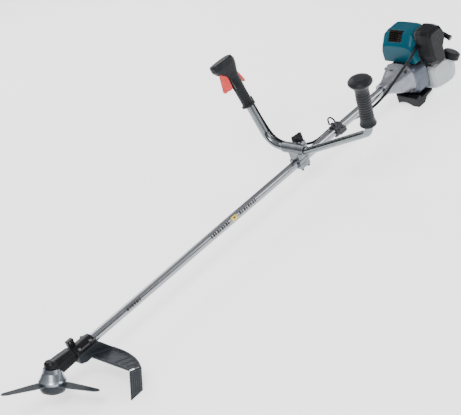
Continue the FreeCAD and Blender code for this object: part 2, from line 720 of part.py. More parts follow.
def make_handlebar():
    """One bent tube: straight in the holder, up to the throttle grip on the right and out on the left."""
    bar = doc.addObject("PartDesign::Body", "Handlebar")
    lean = math.radians(size.right_lean)
    rise = math.radians(size.left_rise)
    left_lean = math.radians(size.left_lean)
    right_up = size.right_end_up
    corner_up = (size.left_bend_across - size.left_corner_across) * math.tan(rise)
    left_up = size.left_end_up
    right = [(0, 0), (size.right_bend_across, 0),
             (size.right_bend_across + right_up * math.tan(lean), right_up)]
    left = [(0, 0), (size.left_bend_across, 0), (size.left_corner_across, corner_up),
            (size.left_corner_across - (left_up - corner_up) * math.tan(left_lean), left_up)]
    radii = {"Right": [size.right_bend_radius], "Left": [size.left_bend_radius, size.left_corner_radius]}
    for name, points in (("Right", right), ("Left", left)):
        ring = sketch_on(bar, "XZ_Plane")
        for number, radius in enumerate(("bar_diameter / 2", "bar_diameter / 2 - bar_wall")):
            ring.addGeometry(Part.Circle(V(0, 0, 0), V(0, 0, 1), 12 - number))
            ring.addConstraint(Sketcher.Constraint("Coincident", number, 3, -1, 1))
            pin_down_radius(ring, number, radius)
        spine = sketch_on(bar, "YZ_Plane")
        for piece in rounded_line(points, radii[name]):
            spine.addGeometry(piece)
        doc.recompute()
        pipe = bar.newObject("PartDesign::AdditivePipe", name + "Half")
        pipe.Profile = ring
        pipe.Spine = (spine, [f"Edge{number + 1}" for number in range(len(spine.Geometry))])
    place(bar, "handlebar", BAR)


def rounded_line(points, radii):
    """Line segments with tangent arcs of the given radii at their corners."""
    points = [V(*point, 0) for point in points]
    start = points[0]
    pieces = []
    for corner, after, radius in zip(points[1:], points[2:], radii):
        into = (corner - start).normalize()
        out = (after - corner).normalize()
        turn = into.getAngle(out)
        reach = radius * math.tan(turn / 2)
        first, last = corner - into * reach, corner + out * reach
        middle = corner + (out - into).normalize() * (radius / math.cos(turn / 2) - radius)
        pieces.append(Part.LineSegment(start, first))
        pieces.append(Part.Arc(first, middle, last))
        start = last
    pieces.append(Part.LineSegment(start, points[-1]))
    return pieces


# ---------------------------------------------------------------- grips and controls

def grip_frame(side):
    """A grip's frame: origin on the bar at the grip's lower end, local Z up along the bar."""
    if side == "right":
        lean = size.right_lean
        across = size.right_bend_across + size.throttle_grip_up * math.tan(math.radians(lean))
        return BAR.multiply(Placement(V(0, across, size.throttle_grip_up), Rotation(V(1, 0, 0), -lean)))
    lean = size.left_lean
    corner_up = (size.left_bend_across - size.left_corner_across) * math.tan(math.radians(size.left_rise))
    across = size.left_corner_across - (size.left_grip_up - corner_up) * math.tan(math.radians(lean))
    return BAR.multiply(Placement(V(0, across, size.left_grip_up), Rotation(V(1, 0, 0), lean)))


def make_left_grip():
    """Rubber grip with a broad palm rest on top and a flange below."""
    grip = turned("LeftGrip", [
        ("bar_diameter / 2", 0), (25, 0), (26, 5), (24, 10), ("grip_radius + 1", 18),
        ("grip_radius", 55), ("grip_radius + 1.5", 92), ("grip_radius", 120), (24, 132),
        ("palm_radius - 5", 140), ("palm_radius", 146), ("palm_radius", 151),
        ("palm_radius - 5", 157), (18, 162), (0, "grip_length"), (0, 150), ("bar_diameter / 2", 150)])
    place(grip, "left_grip", grip_frame("left"))


def throttle_grip_solid():
    """Outer form of the throttle grip: round below, growing into a long head above."""
    sections = [
        (6, -18, 18, 17, 2.2), (60, -18, 18, 17, 2.2), (104, -18.5, 19, 17, 2.3),
        (122, -27, 25, 18, 2.5), (138, -47, 31, 21, 2.8), (150, -55, 33, 23, 3.0),
        (164, -56, 32, 23, 3.0), (171, -53, 29, 21, 3.0)]
    wires = []
    for up, front, back, half, squareness in sections:
        wire = oval_wire((back - front) / 2, -half, half, squareness, (front + back) / 2)
        wires.append((Placement(V(0, 0, up), Rotation()), wire))
    return loft(wires, ruled=True)


def make_throttle_grip():
    """Two shells round the bar, with the trigger, its pin, the lock-off lever and the stop switch."""
    frame = grip_frame("right")
    flange = fuse(rod(23, 7, (0, 0, 0), (0, 0, 1)), rod(8.5, 22, (17, 0, 0), (0, 0, 1)))
    whole = fuse(feature(throttle_grip_solid(), "GripForm"), flange)
    half_slot = size.lever_thickness / 2 + 0.5
    rooms = [
        rod("bar_diameter / 2", 164, (0, 0, -1), (0, 0, 1)),
        block((-80, -half_slot, 66), (-12, half_slot, 140)),
        block((12, -5.6, 66), (45, 5.6, 117)),
        block((23.5, -7.5, 147), (45, 7.5, 168)),
        rod(2.0, 60, (-26, -30, 133), (0, 1, 0)),
        rod("cable_diameter / 2 + running_gap", 20, (17, 0, -1), (0, 0, 1))]
    shell = cut_in_turn(whole, *rooms)
    for side, low, high in (("left", -40, -0.02), ("right", 0.02, 40)):
        half = common(shell, block((-90, low, -10), (90, high, 190)))
        place(half, f"throttle_grip_{side}_shell", frame)
    pin = rod(1.95, 2 * half_slot + 12, (-26, -half_slot - 6, 133), (0, 1, 0))
    place(pin, "trigger_pin", frame)
    trigger = padded("Trigger", [
        (-31, 138.5), (-38, 136), (-44, 120), (-50, 102), (-57, 82), (-54, 77), (-47, 79), (-38, 76),
        (-25, 78), (-22.5, 100), (-21, 130), (-24, 138.5)], "lever_thickness", "XZ_Plane", both_ways=True)
    place(cut(trigger, rod("1.95 + running_gap", 40, (-26, -20, 133), (0, 1, 0))), "throttle_trigger", frame)
    lever = padded("LockOffLever", [
        (18, 115), (22.5, 115.5), (28, 100), (33.5, 76), (31, 72), (27, 73), (21.5, 98), (17.5, 108)],
        10, "XZ_Plane", both_ways=True)
    place(lever, "lock_off_lever", frame)
    switch = fuse(block((24.0, -6.8, 148.5), (33.5, 6.8, 160.5)), block((33.5, -5.5, 151), (37.5, 5.5, 158)))
    place(switch, "stop_switch", frame)


# ---------------------------------------------------------------- engine

def make_clutch_case():
    """Cast cone from the tube's collar to the fan case, with the clutch room inside."""
    front, back, collar = size.collar_front, size.case_back, size.collar_radius
    sections = [
        (station(front), oval_wire(collar, -collar, collar)),
        (station(front + 18), oval_wire(collar, -collar, collar)),
        (station(front + 40), oval_wire(31, -34, 27, 2.2)),
        (station(front + 66), oval_wire(43, -48, 34, 2.6)),
        (station(back), oval_wire(size.case_half_width, size.case_bottom, size.case_top, 3.2))]
    cone = feature(loft(sections, ruled=True), "ClutchCone")
    socket = rod("tube_diameter / 2", 60, (size.tube_back - 60, 0, 0))
    shaft_way = fuse(rod(8, 60, (size.tube_back - 2, 0, 0)), rod(13, 30, (483.5, 0, 0)))
    clutch_room = rod(36, 60, (494, 0, 0))
    screws = [rod(2.6, 30, (back - 22, y, z)) for y, z in case_screw_spots()]
    pockets = [rod(4.9, 60, (back - 71, y, z)) for y, z in case_screw_spots()]
    place(cut_in_turn(cone, socket, shaft_way, clutch_room, *screws, *pockets), "clutch_case")


def case_screw_spots():
    return [(-44, 26), (44, 26), (-44, -48), (44, -48)]


def make_clutch():
    """Drum on the drive shaft; centrifugal shoes on the crankshaft inside it."""
    outer = size.drum_radius
    hub = rod(12, 10, (484.5, 0, 0))
    web = rod("drum_radius", 3, (496, 0, 0))
    neck = rod(12, 6, (492, 0, 0))
    wall = cut(rod("drum_radius", 26, (498, 0, 0)), rod("drum_radius - 2", 27, (499, 0, 0)))
    bore = rod("shaft_diameter / 2", 30, (480, 0, 0))
    place(cut(fuse(hub, neck, web, wall), bore), "clutch_drum")
    shoes = []
    for turn in (0, 180):
        ring = Part.makeCylinder(outer - 3, 21, V(502, 0, 0), V(1, 0, 0))
        ring = ring.cut(Part.makeCylinder(15, 21, V(502, 0, 0), V(1, 0, 0)))
        shoe = ring.common(Part.makeBox(21, 2 * outer, outer, V(502, -outer, 2.5)))
        shoe.rotate(V(0, 0, 0), V(1, 0, 0), turn)
        shoes.append(shoe)
    place(feature(Part.makeCompound(shoes), "Shoes"), "clutch_shoes")


def make_crankshaft():
    """Crankshaft from the clutch hub to the starter with its webs and crank pin, and the flywheel."""
    line = fuse(rod(14.8, 21, (502, 0, 0)), rod("crank_radius", 90, (520, 0, 0)),
                rod("crank_radius", 26, (634, 0, 0)))
    webs = []
    for front in (608, 627):
        webs.append(fuse(rod(15, 8, (front, 0, 8)), block((front, -15, -20), (front + 8, 15, 8))))
    pin = rod(6.5, 30, (607, 0, 14))
    place(fuse(line, pin, *webs), "crankshaft")
    radius = size.flywheel_radius
    disc = cut(rod("flywheel_radius - 6", 6, (573, 0, 0)), rod("crank_radius", 6, (573, 0, 0)))
    blades = []
    for number in range(12):
        blade = Part.makeBox(20, 2.5, 18, V(555, -1.25, radius - 18))
        blade.rotate(V(0, 0, 0), V(1, 0, 0), 30 * number)
        blades.append(blade)
    rim = Part.makeCylinder(radius, 5, V(574, 0, 0), V(1, 0, 0))
    rim = rim.cut(Part.makeCylinder(radius - 14, 5, V(574, 0, 0), V(1, 0, 0)))
    fan = feature(blades[0].multiFuse(blades[1:] + [rim]), "Fan")
    place(fuse(disc, fan), "flywheel")


def make_fan_case():
    """Grey housing round the flywheel, behind the clutch case, open above under the hood."""
    front, back = size.case_back + 0.2, size.fan_case_back
    half, low, high = size.fan_case_half_width, size.fan_case_bottom, size.fan_case_top
    outside = feature(loft([
        (station(front), oval_wire(size.case_half_width + 2, size.case_bottom - 4, high, 3.4)),
        (station(front + 14), oval_wire(half, low, high, 3.6)),
        (station(back), oval_wire(half, low, high - 3, 3.6))], ruled=True), "FanCaseOutside")
    room = rod("flywheel_radius + 3", back - front - 11, (front + 4, 0, 0))
    eye = rod(20, 20, (front - 2, 0, 0))
    shaft_way = rod("crank_radius + 0.5", 30, (back - 20, 0, 0))
    screws = [rod(2.6, 9, (front - 1, y, z)) for y, z in case_screw_spots()]
    place(cut_in_turn(outside, room, eye, shaft_way, *screws), "fan_case")
    for y, z in case_screw_spots():
        face = size.case_back - 16
        screw = fuse(rod(4.6, 5, (face, y, z)), rod(2.5, 20, (face + 4, y, z)))
        fasteners.append(cut(screw, rod(2.1, 3, (face, y, z))))


def make_crankcase():
    """Crankcase behind the fan case with its two bearings, and the finned cylinder on top."""
    front, back = size.fan_case_back + 0.2, size.crankcase_back
    body = fuse(rod("crankcase_radius", back - front, (front, 0, 0)),
                block((front, -30, 0), (back, 30, 46)), block((front, -34, -46), (back, 34, -20)))
    room = rod(27, 38, (602, 0, 0))
    bore_room = rod("cylinder_bore_radius + 0.3", 60, (621, 0, 0), (0, 0, 1))
    seats = [rod(15, 12, (589.5, 0, 0)), rod(15, 12, (641, 0, 0))]
    way = rod("crank_radius + 0.5", 80, (585, 0, 0))
    place(cut_in_turn(body, room, bore_room, way, *seats), "crankcase")
    for start in (591, 641.5):
        outer = rod(14.9, 9, (start, 0, 0))
        bearings.append(cut(outer, rod("crank_radius + running_gap", 9, (start, 0, 0))))
    barrel = rod(25, 60, (621, 0, 46.2), (0, 0, 1))
    fins = [block((593, -34, 53 + 7 * number), (649, 34, 55 + 7 * number)) for number in range(7)]
    head = block((598, -26, 100), (644, 26, 112))
    bore = rod("cylinder_bore_radius", 46, (621, 0, 46), (0, 0, 1))
    plug_hole = rod(5.1, 60, (621, 0, 80), (0, 0, 1))
    place(cut(fuse(barrel, head, *fins), bore, plug_hole), "cylinder")
    plug = fuse(rod(5.0, 20, (621, 0, 93), (0, 0, 1)), rod(8, 6, (621, 0, 112.2), (0, 0, 1)),
                rod(4.5, 13, (621, 0, 117), (0, 0, 1)))
    place(plug, "spark_plug")


def make_top_cover():
    """Blue-green plastic hood over the cylinder: upright front, sloping brow with a grille, flat top."""
    front, back, top = size.cover_front, size.cover_back, size.cover_top
    bottom, wall = size.cover_bottom, size.cover_wall

    def hood(inset):
        sections = []
        for along, high, half in ((front + inset, top - 43, 65), (front + 6 + inset, top - 33, 67),
                                  (front + 28 + inset, top - 4, 69), (front + 48, top, 70),
                                  (back - 14, top, 70), (back - inset, top - 9, 68)):
            wire = oval_wire(half - inset, bottom - 60, high - inset, 4.5, 6.0, 40)
            sections.append((station(along), wire))
        return feature(loft(sections, ruled=True), "Hood")

    above = block((front - 5, -90, bottom), (back + 5, 90, top + 30))
    corner = block((592, -90, 20), (back + 10, -37, top - 8))
    crank_gap = block((back - 12, -32, bottom - 5), (back + 5, 32, 48))
    brow = brow_frame()
    window = moved(block((-8, -28, 3), (8, 28, 43)), brow)
    shell = common(cut(hood(0), hood(wall)), above)
    plate_room = extruded(cleaner_outline(), -90, 35)
    place(cut_in_turn(shell, corner, plate_room, crank_gap, window, cable_groove()), "top_cover")
    frame_plate = cut(block((1, -27.7, 3.3), (5, 27.7, 42.7)), block((0, -24, 7), (6, 24, 39)))
    slats = [block((0.5, -25, 9 + 6.5 * number), (4, 25, 11.5 + 6.5 * number)) for number in range(5)]
    place(fuse(frame_plate, *slats), "exhaust_grille", brow)
    muffler = rounded(block((588, 36, 60), (640, 54, 108)), 6.0, lambda edge: edge.BoundBox.XLength > 40)
    stub = rod(7, 12, (592, 45, 84), (-1, 0, 0))
    place(fuse(muffler, stub), "muffler")


def brow_frame():
    """Frame on the hood's brow: local Z climbs the slope and local X points inwards."""
    tilt = math.degrees(math.atan2(22, 29))
    return Placement(V(size.cover_front + 6, 11, size.cover_top - 33), Rotation(V(0, 1, 0), tilt))


def make_intake():
    """Carburettor with its throttle arm, the air cleaner's base, filter and cover, and the choke lever."""
    plate = extruded(cleaner_outline(), -66, 5)
    mouth = rod(10, 20, (622, -70, 66), (0, 1, 0))
    choke_hole = rod(3.2, 20, (640, -70, 104), (0, 1, 0))
    anchor = block((588, -66, 84), (594, -46, 102))
    place(cut_in_turn(fuse(plate, anchor), mouth, choke_hole, cable_groove()), "air_cleaner_base")
    body = fuse(block((612, -60, 48), (646, -42, 84)), rod(9, 8.5, (629, -43, 66), (0, 1, 0)),
                rod(3, 5, (622, -51, 84), (0, 0, 1)))
    place(body, "carburettor")
    arm = cut(fuse(rod(5, 3, (0, 0, 0), (0, 0, 1)), block((-18, -3, 0), (0, 3, 3)),
                   rod(3.6, 3, (-18, 0, 0), (0, 0, 1))),
              rod("3 + running_gap", 8, (0, 0, -2), (0, 0, 1)))
    place(arm, "throttle_arm", Placement(V(622, -51, 85), Rotation()))
    wires = []
    for across, inset in ((-66.2, 0), (-86, 0), (-112, 5), (-122, 14)):
        middle = V(618, across, 72)
        ring = [V(x, across, z) for x, z in cleaner_outline()]
        ring = [corner + (middle - corner).normalize() * inset for corner in ring]
        wires.append(Part.makePolygon(ring + ring[:1]))
    shell = feature(Part.makeLoft(wires, True, True), "CleanerForm")
    room = block((592, -110, 60), (650, -60, 124))
    place(cut_in_turn(shell, room, cable_groove()), "air_cleaner_cover")
    place(block((596, -106, 64), (646, -70, 120)), "air_filter")
    lever = fuse(rod(2.9, 9, (0, 0, 0), (0, 1, 0)), block((-3, 9, -3), (20, 13, 3)))
    place(lever, "choke_lever", Placement(V(640, -66, 104), Rotation()))


def cleaner_outline():
    """The air cleaner seen from the side, as points along and up."""
    return [(578, 128), (588, 137), (636, 139), (654, 130), (663, 112), (663, 88), (644, 54), (632, 8),
            (622, 2), (600, 4), (578, 24), (570, 50)]


def extruded(outline_points, across, thickness):
    """A plate of the given outline (along, up), raised towards the operator's right."""
    ring = [V(x, across, z) for x, z in outline_points]
    return feature(Part.Face(Part.makePolygon(ring + ring[:1])).extrude(V(0, thickness, 0)), "Plate")


def make_starter():
    """Recoil starter: housing, reel, rope and handle."""
    front, back, radius = size.starter_front, size.starter_back, size.starter_radius
    shell = rod("starter_radius", back - front, (front, 0, 0))
    guide = moved(block((-9, -7, -34), (9, 7, 28)), starter_frame())
    room = rod("starter_radius - 3", back - front - 3, (front - 1, 0, 0))
    rope_way = moved(rod(3.4, 90, (0, 0, -50), (0, 0, 1)), starter_frame())
    vents = [moved(block((back - 5, 16, -3), (back + 2, 36, 3)),
                   Placement(V(), Rotation(V(1, 0, 0), 45 * number))) for number in range(8)]
    ring = cut(rod("starter_radius", 4, (size.crankcase_back + 0.2, 0, 0)),
               rod(36, 6, (size.crankcase_back, 0, 0)))
    post = rod(6, 20, (back - 3 - 20, 0, 0))
    place(fuse(cut_in_turn(fuse(shell, guide, ring), room, rope_way, *vents), post), "starter_housing")
    reel = cut(fuse(rod(40, 2, (670, 0, 0)), rod(34, 8, (671, 0, 0)), rod(40, 2, (678, 0, 0))),
               rod("6 + running_gap", 20, (665, 0, 0)))
    place(reel, "starter_reel")
    handle = fuse(rod(8.5, 84, (0, 38, 0), (0, -1, 0)), rod(10, 5, (0, 38, 0), (0, -1, 0)),
                  rod(10, 5, (0, -41, 0), (0, -1, 0)), taper(8, 5, 14, (0, 0, -4), (0, 0, -1)))
    place(handle, "starter_handle", starter_frame(50))
    place(rod(2.0, 54, (0, 0, -54), (0, 0, 1)), "starter_rope", starter_frame(31.8))


def starter_frame(out=0.0):
    """The rope's way out of the starter: local Z is the pull, up and to the operator's left."""
    pull = Rotation(V(1, 0, 0), 26.8)
    return Placement(V(675, -59.3, 42), pull).multiply(Placement(V(0, 0, out), Rotation()))


def make_tank():
    """Translucent tank under and beside the crankcase, with a raised neck and a knurled cap."""
    side = [(596, -18), (594, -60), (597, -88), (620, -96), (660, -102), (684, -103), (704, -95),
            (717, -76), (720, -56), (714, -34), (700, -20), (680, -12), (640, -8), (606, -9)]
    middle_along, middle_up = 656, -56
    wires = []
    for across, scale in ((66, 0.86), (58, 0.96), (40, 1.0), (-54, 1.0), (-70, 0.96), (-80, 0.82)):
        ring = [V(middle_along + (x - middle_along) * scale, across, middle_up + (z - middle_up) * scale)
                for x, z in side]
        wires.append(Part.makePolygon(ring + ring[:1]))
    blank = Part.makeLoft(wires, True, True)
    saddle = Part.makeCylinder(size.starter_radius + 2.5, 160, V(580, 0, 0), V(1, 0, 0))
    shelf = Part.makeBox(160, 200, 60, V(580, -52, -42))
    crankcase_room = Part.makeBox(80, 72, 60, V(580, -36, -48))
    neck = Part.makeCylinder(21, 60, V(0, 0, -40))
    neck.Placement = neck_placement()
    cap_room = Part.makeCylinder(size.cap_radius + 1, 60, V(0, 0, 3))
    cap_room.Placement = neck_placement()
    hose_stations = (614, 623)
    hose_hole_radius = 2.9
    hose_holes = [Part.makeCylinder(hose_hole_radius, 30, V(x, -58, -22)) for x in hose_stations]
    blank = blank.cut([saddle, shelf, crankcase_room, cap_room] + hose_holes)
    outer = blank.fuse(neck.cut(saddle))
    mouth = Part.makeCylinder(18.5, 30, V(0, 0, -8))
    mouth.Placement = neck_placement()
    place(feature(outer.cut(mouth).removeSplitter(), "Tank"), "fuel_tank")
    radius = size.cap_radius
    cap_wall = rod("cap_radius", 20, (0, 0, 4), (0, 0, 1))
    cap_edge = taper("cap_radius", radius - 4, 3, (0, 0, 24), (0, 0, 1))
    cap = fuse(cap_wall, cap_edge)
    lid = cut(cap, rod(21.4, 17, (0, 0, 3.5), (0, 0, 1)))
    plug = rod(17, 21, (0, 0, 0), (0, 0, 1))
    notches = []
    for number in range(18):
        turn = math.radians(20 * number)
        spot = ((radius + 0.6) * math.cos(turn), (radius + 0.6) * math.sin(turn), 2)
        notches.append(rod(1.5, 22, spot, (0, 0, 1)))
    place(cut(fuse(lid, plug), *notches), "fuel_cap", neck_placement())


def make_hoses():
    """Feed and return hoses from the tank's grommet to the carburettor."""
    hoses = []
    for offset in (0, 9):
        route = [(614 + offset, -58, -20), (614 + offset, -57, 4), (616 + offset, -53, 26),
                 (620 + offset, -51, 46.9)]
        hoses.append(feature(swept(tube_path(route), 2.5), "Hose"))
    grommet = fuse(rod(5, 6, (614, -58, -8), (0, 0, 1)), rod(5, 6, (623, -58, -8), (0, 0, 1)),
                   block((614, -63, -8), (623, -53, -2)))
    place(group(cut(grommet, *hoses), *hoses), "fuel_hoses")


def neck_placement():
    """Frame of the tank's mouth: local Z leans back and to the left."""
    return Placement(V(702, -70, -32), Rotation(V(0, 0, 1), V(0.42, -0.36, 0.83)))


def make_stand():
    """Black foot under the clutch case and fan case, arched below."""
    floor = -size.tube_height
    plan = [V(506, -64, 0), V(510, 26, 0), V(536, 54, 0), V(594, 54, 0), V(594, -64, 0)]
    foot = Part.Face(Part.makePolygon(plan + plan[:1])).extrude(V(0, 0, 40))
    foot.translate(V(0, 0, floor))
    side = [V(500, 0, floor), V(500, 0, -82), V(508, 0, -73), V(527.5, 0, -71), V(529, 0, -80.5),
            V(590, 0, -80.5), V(588, 0, -88), V(556, 0, -92), V(540, 0, floor)]
    profile = Part.Face(Part.makePolygon(side + side[:1])).extrude(V(0, 200, 0))
    profile.translate(V(0, -100, 0))
    arch = Part.makeCylinder(60, 200, V(400, -2, floor - 50), V(1, 0, 0))
    shape = foot.common(profile).cut(arch)
    place(feature(shape.removeSplitter(), "Stand"), "engine_stand")


# ---------------------------------------------------------------- throttle cable

CABLE_ROUTE = [
    (17.0, 146.35, 185.0), (17.0, 125.0, 108.0), (17.0, 103.0, 64.0),
    (19.0, 72.0, 46.0), (38.0, 42.0, 33.0), (66.0, 24.0, 16.0), (98.0, 17.9, 5.5),
    (140.0, 20.6, 2.0), (187.0, 27.2, 0.0), (236.0, 20.5, -12.0), (292.0, 3.0, -20.5),
    (345.0, -17.0, -16.0), (396.0, -28.0, -4.0), (440.0, -36.0, 15.0), (484.0, -50.0, 42.0),
    (526.0, -64.0, 66.0), (562.0, -70.0, 88.0), (594.0, -58.5, 93.0),
]


def cable_groove():
    """Room for the throttle cable's last stretch, half a millimetre wider all round."""
    return feature(swept(tube_path(CABLE_ROUTE[-5:]), size.cable_diameter / 2 + 0.5), "CableGroove")


def make_cable():
    """Throttle cable from the right grip, along the tube and up to the carburettor."""
    path = tube_path(CABLE_ROUTE)
    place(feature(swept(path, size.cable_diameter / 2), "ThrottleCable"), "throttle_cable")


# ---------------------------------------------------------------- the whole machine

def check_and_export():
    """Stops on any failed object, then writes each sub-part to its own STEP file."""
    doc.recompute()
    failed = [item.Label for item in doc.Objects if "Invalid" in item.State or "Error" in item.State]
    if failed:
        raise SystemExit(f"failed objects: {failed}")
    for piece in subparts:
        if piece.Shape.isNull() or not piece.Shape.isValid() or not piece.Shape.Solids:
            raise SystemExit(f"bad shape: {piece.Label}")
    os.makedirs("parts", exist_ok=True)
    for piece in subparts:
        piece.Shape.exportStep(f"parts/{piece.Label}.step")
    print(len(subparts), "sub-parts written")


make_gear_case()
make_gear_case_cover()
make_gears()
make_output_shaft()
make_cutter()
make_guard()
make_guard_clamp()
make_guard_extension()
make_tube()
make_hanger()
make_holder()
make_knob()
make_handlebar()
make_left_grip()
make_throttle_grip()
make_clutch_case()
make_clutch()
make_crankshaft()
make_fan_case()
make_crankcase()
make_top_cover()
make_intake()
make_starter()
make_tank()
make_hoses()
make_stand()
make_cable()
place(group(*fasteners), "screws")
place(group(*bearings), "ball_bearings")
check_and_export()
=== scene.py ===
"""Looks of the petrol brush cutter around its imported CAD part. Lengths in metres, row frame."""

import json
import math

import bpy
import bmesh
from mathutils import Matrix, Vector


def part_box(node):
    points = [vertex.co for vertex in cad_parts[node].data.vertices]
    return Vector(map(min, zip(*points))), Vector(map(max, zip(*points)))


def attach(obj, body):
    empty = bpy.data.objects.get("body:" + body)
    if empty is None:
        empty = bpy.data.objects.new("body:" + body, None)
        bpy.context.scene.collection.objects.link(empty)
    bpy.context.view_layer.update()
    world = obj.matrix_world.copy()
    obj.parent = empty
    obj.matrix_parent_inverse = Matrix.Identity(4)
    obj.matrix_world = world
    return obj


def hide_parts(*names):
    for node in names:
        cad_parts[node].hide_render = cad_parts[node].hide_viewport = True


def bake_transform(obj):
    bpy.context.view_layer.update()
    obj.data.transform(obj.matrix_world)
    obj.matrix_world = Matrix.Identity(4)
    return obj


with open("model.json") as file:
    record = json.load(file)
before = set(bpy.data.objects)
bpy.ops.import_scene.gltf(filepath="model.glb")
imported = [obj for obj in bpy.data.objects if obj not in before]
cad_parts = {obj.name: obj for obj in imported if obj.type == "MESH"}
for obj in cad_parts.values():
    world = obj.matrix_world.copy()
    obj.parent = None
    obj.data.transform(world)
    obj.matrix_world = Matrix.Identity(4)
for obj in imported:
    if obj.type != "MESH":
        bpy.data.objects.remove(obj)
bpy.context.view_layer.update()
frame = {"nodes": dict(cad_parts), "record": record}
NODES = frame["nodes"]
BODIES = frame["record"]["behaviour"]["bodies"]
BODY_OF = {node: body for body, nodes in BODIES.items() for node in nodes}
SLOT_OF = {part["node"]: part["material_slot"] for part in frame["record"]["subparts"]}

# The drive tube's axis runs along +X at this place in the row frame
TUBE_ORIGIN = Vector((0.2499914, 0.0978212, 0.106))

# Cutting head: blade's centre from the tube's origin in millimetres, and the head's tilt
HEAD_ALONG = -1097.5
HEAD_UP = -26
HEAD_TILT = math.radians(22.6)

# Handlebar, in millimetres from the tube's origin
BAR_HEIGHT = 45
RIGHT_LEAN = math.radians(15.7)
LEFT_LEAN = math.radians(8)
LEFT_RISE = math.radians(20.7)
LEFT_ARM_SPAN = 294
LEFT_CORNER_ACROSS = -347
LEFT_GRIP_UP = 139
THROTTLE_GRIP_FOOT = (0, 146.355, 185)


def at(x, y, z):
    """Row-frame point from millimetres along, across and above the tube's axis."""
    return TUBE_ORIGIN + Vector((x, y, z)) / 1000


def in_head(x, y, z):
    """Row-frame point from millimetres in the cutting head's tilted frame."""
    local = Matrix.Rotation(HEAD_TILT, 4, "Y") @ Vector((x, y, z))
    return at(local.x + HEAD_ALONG, local.y, local.z + HEAD_UP)


# ---------------------------------------------------------------- materials

NOISE_ROUGHNESS = 0.55
PATCH_DETAIL = 5.0
GRAIN_DETAIL = 3.0
TINT_BAND = (0.35, 0.65)
GRAIN_BAND = (0.3, 0.7)
# Edge sharpness at which wear starts and is complete
WEAR_BAND = (0.515, 0.60)
INNER_SCATTER_DEPTH = 0.01


def link(tree, source, output, target, socket):
    tree.links.new(source.outputs[output], target.inputs[socket])


def noise(tree, scale, detail, stretch=None):
    """Noise in object space, stretched along an axis when asked."""
    place = tree.nodes.new("ShaderNodeTexCoord")
    texture = tree.nodes.new("ShaderNodeTexNoise")
    texture.inputs["Scale"].default_value = scale
    texture.inputs["Detail"].default_value = detail
    texture.inputs["Roughness"].default_value = NOISE_ROUGHNESS
    if stretch:
        mapping = tree.nodes.new("ShaderNodeMapping")
        mapping.inputs["Scale"].default_value = stretch
        link(tree, place, "Object", mapping, "Vector")
        link(tree, mapping, "Vector", texture, "Vector")
    else:
        link(tree, place, "Object", texture, "Vector")
    return texture


def ramp(tree, source, output, low, high):
    """Blends two colours over the middle band of a noise."""
    node = tree.nodes.new("ShaderNodeValToRGB")
    for element, position, color in zip(node.color_ramp.elements, TINT_BAND, (low, high)):
        element.position = position
        element.color = (*color, 1)
    link(tree, source, output, node, "Fac")
    return node


def remap(tree, source, output, low, high):
    """Stretches the middle band of a noise to a range of values."""
    node = tree.nodes.new("ShaderNodeMapRange")
    node.inputs["From Min"].default_value = GRAIN_BAND[0]
    node.inputs["From Max"].default_value = GRAIN_BAND[1]
    node.inputs["To Min"].default_value = low
    node.inputs["To Max"].default_value = high
    link(tree, source, output, node, "Value")
    return node


def worn_edges(tree, tint, wear):
    """Mixes a wear colour over the tint on sharp outer edges."""
    geometry = tree.nodes.new("ShaderNodeNewGeometry")
    edge = tree.nodes.new("ShaderNodeMapRange")
    edge.inputs["From Min"].default_value = WEAR_BAND[0]
    edge.inputs["From Max"].default_value = WEAR_BAND[1]
    link(tree, geometry, "Pointiness", edge, "Value")
    worn = tree.nodes.new("ShaderNodeMixRGB")
    worn.inputs["Color2"].default_value = (*wear, 1)
    link(tree, edge, "Result", worn, "Fac")
    link(tree, tint, "Color", worn, "Color1")
    return worn


def material(name, color, second, rough, metal=0.0, patch=14, grain=900, bump=0.15, depth=0.0002,
             stretch=None, wear=None, inner=0.0, specular=0.5, sheen=0.0):
    """A procedural finish: colour patches, fine grain in the surface, and lighter worn edges."""
    made = bpy.data.materials.new(name)
    made.use_nodes = True
    tree = made.node_tree
    shader = tree.nodes["Principled BSDF"]
    shader.inputs["Metallic"].default_value = metal
    shader.inputs["Subsurface Weight"].default_value = inner
    shader.inputs["Subsurface Scale"].default_value = INNER_SCATTER_DEPTH
    shader.inputs["Specular IOR Level"].default_value = specular
    shader.inputs["Sheen Weight"].default_value = sheen
    patches = noise(tree, patch, PATCH_DETAIL, stretch)
    tint = ramp(tree, patches, "Fac", color, second)
    if wear:
        tint = worn_edges(tree, tint, wear)
    link(tree, tint, "Color", shader, "Base Color")
    fine = noise(tree, grain, GRAIN_DETAIL, stretch)
    link(tree, remap(tree, fine, "Fac", *rough), "Result", shader, "Roughness")
    surface = tree.nodes.new("ShaderNodeBump")
    surface.inputs["Strength"].default_value = bump
    surface.inputs["Distance"].default_value = depth
    link(tree, fine, "Fac", surface, "Height")
    link(tree, surface, "Normal", shader, "Normal")
    return made


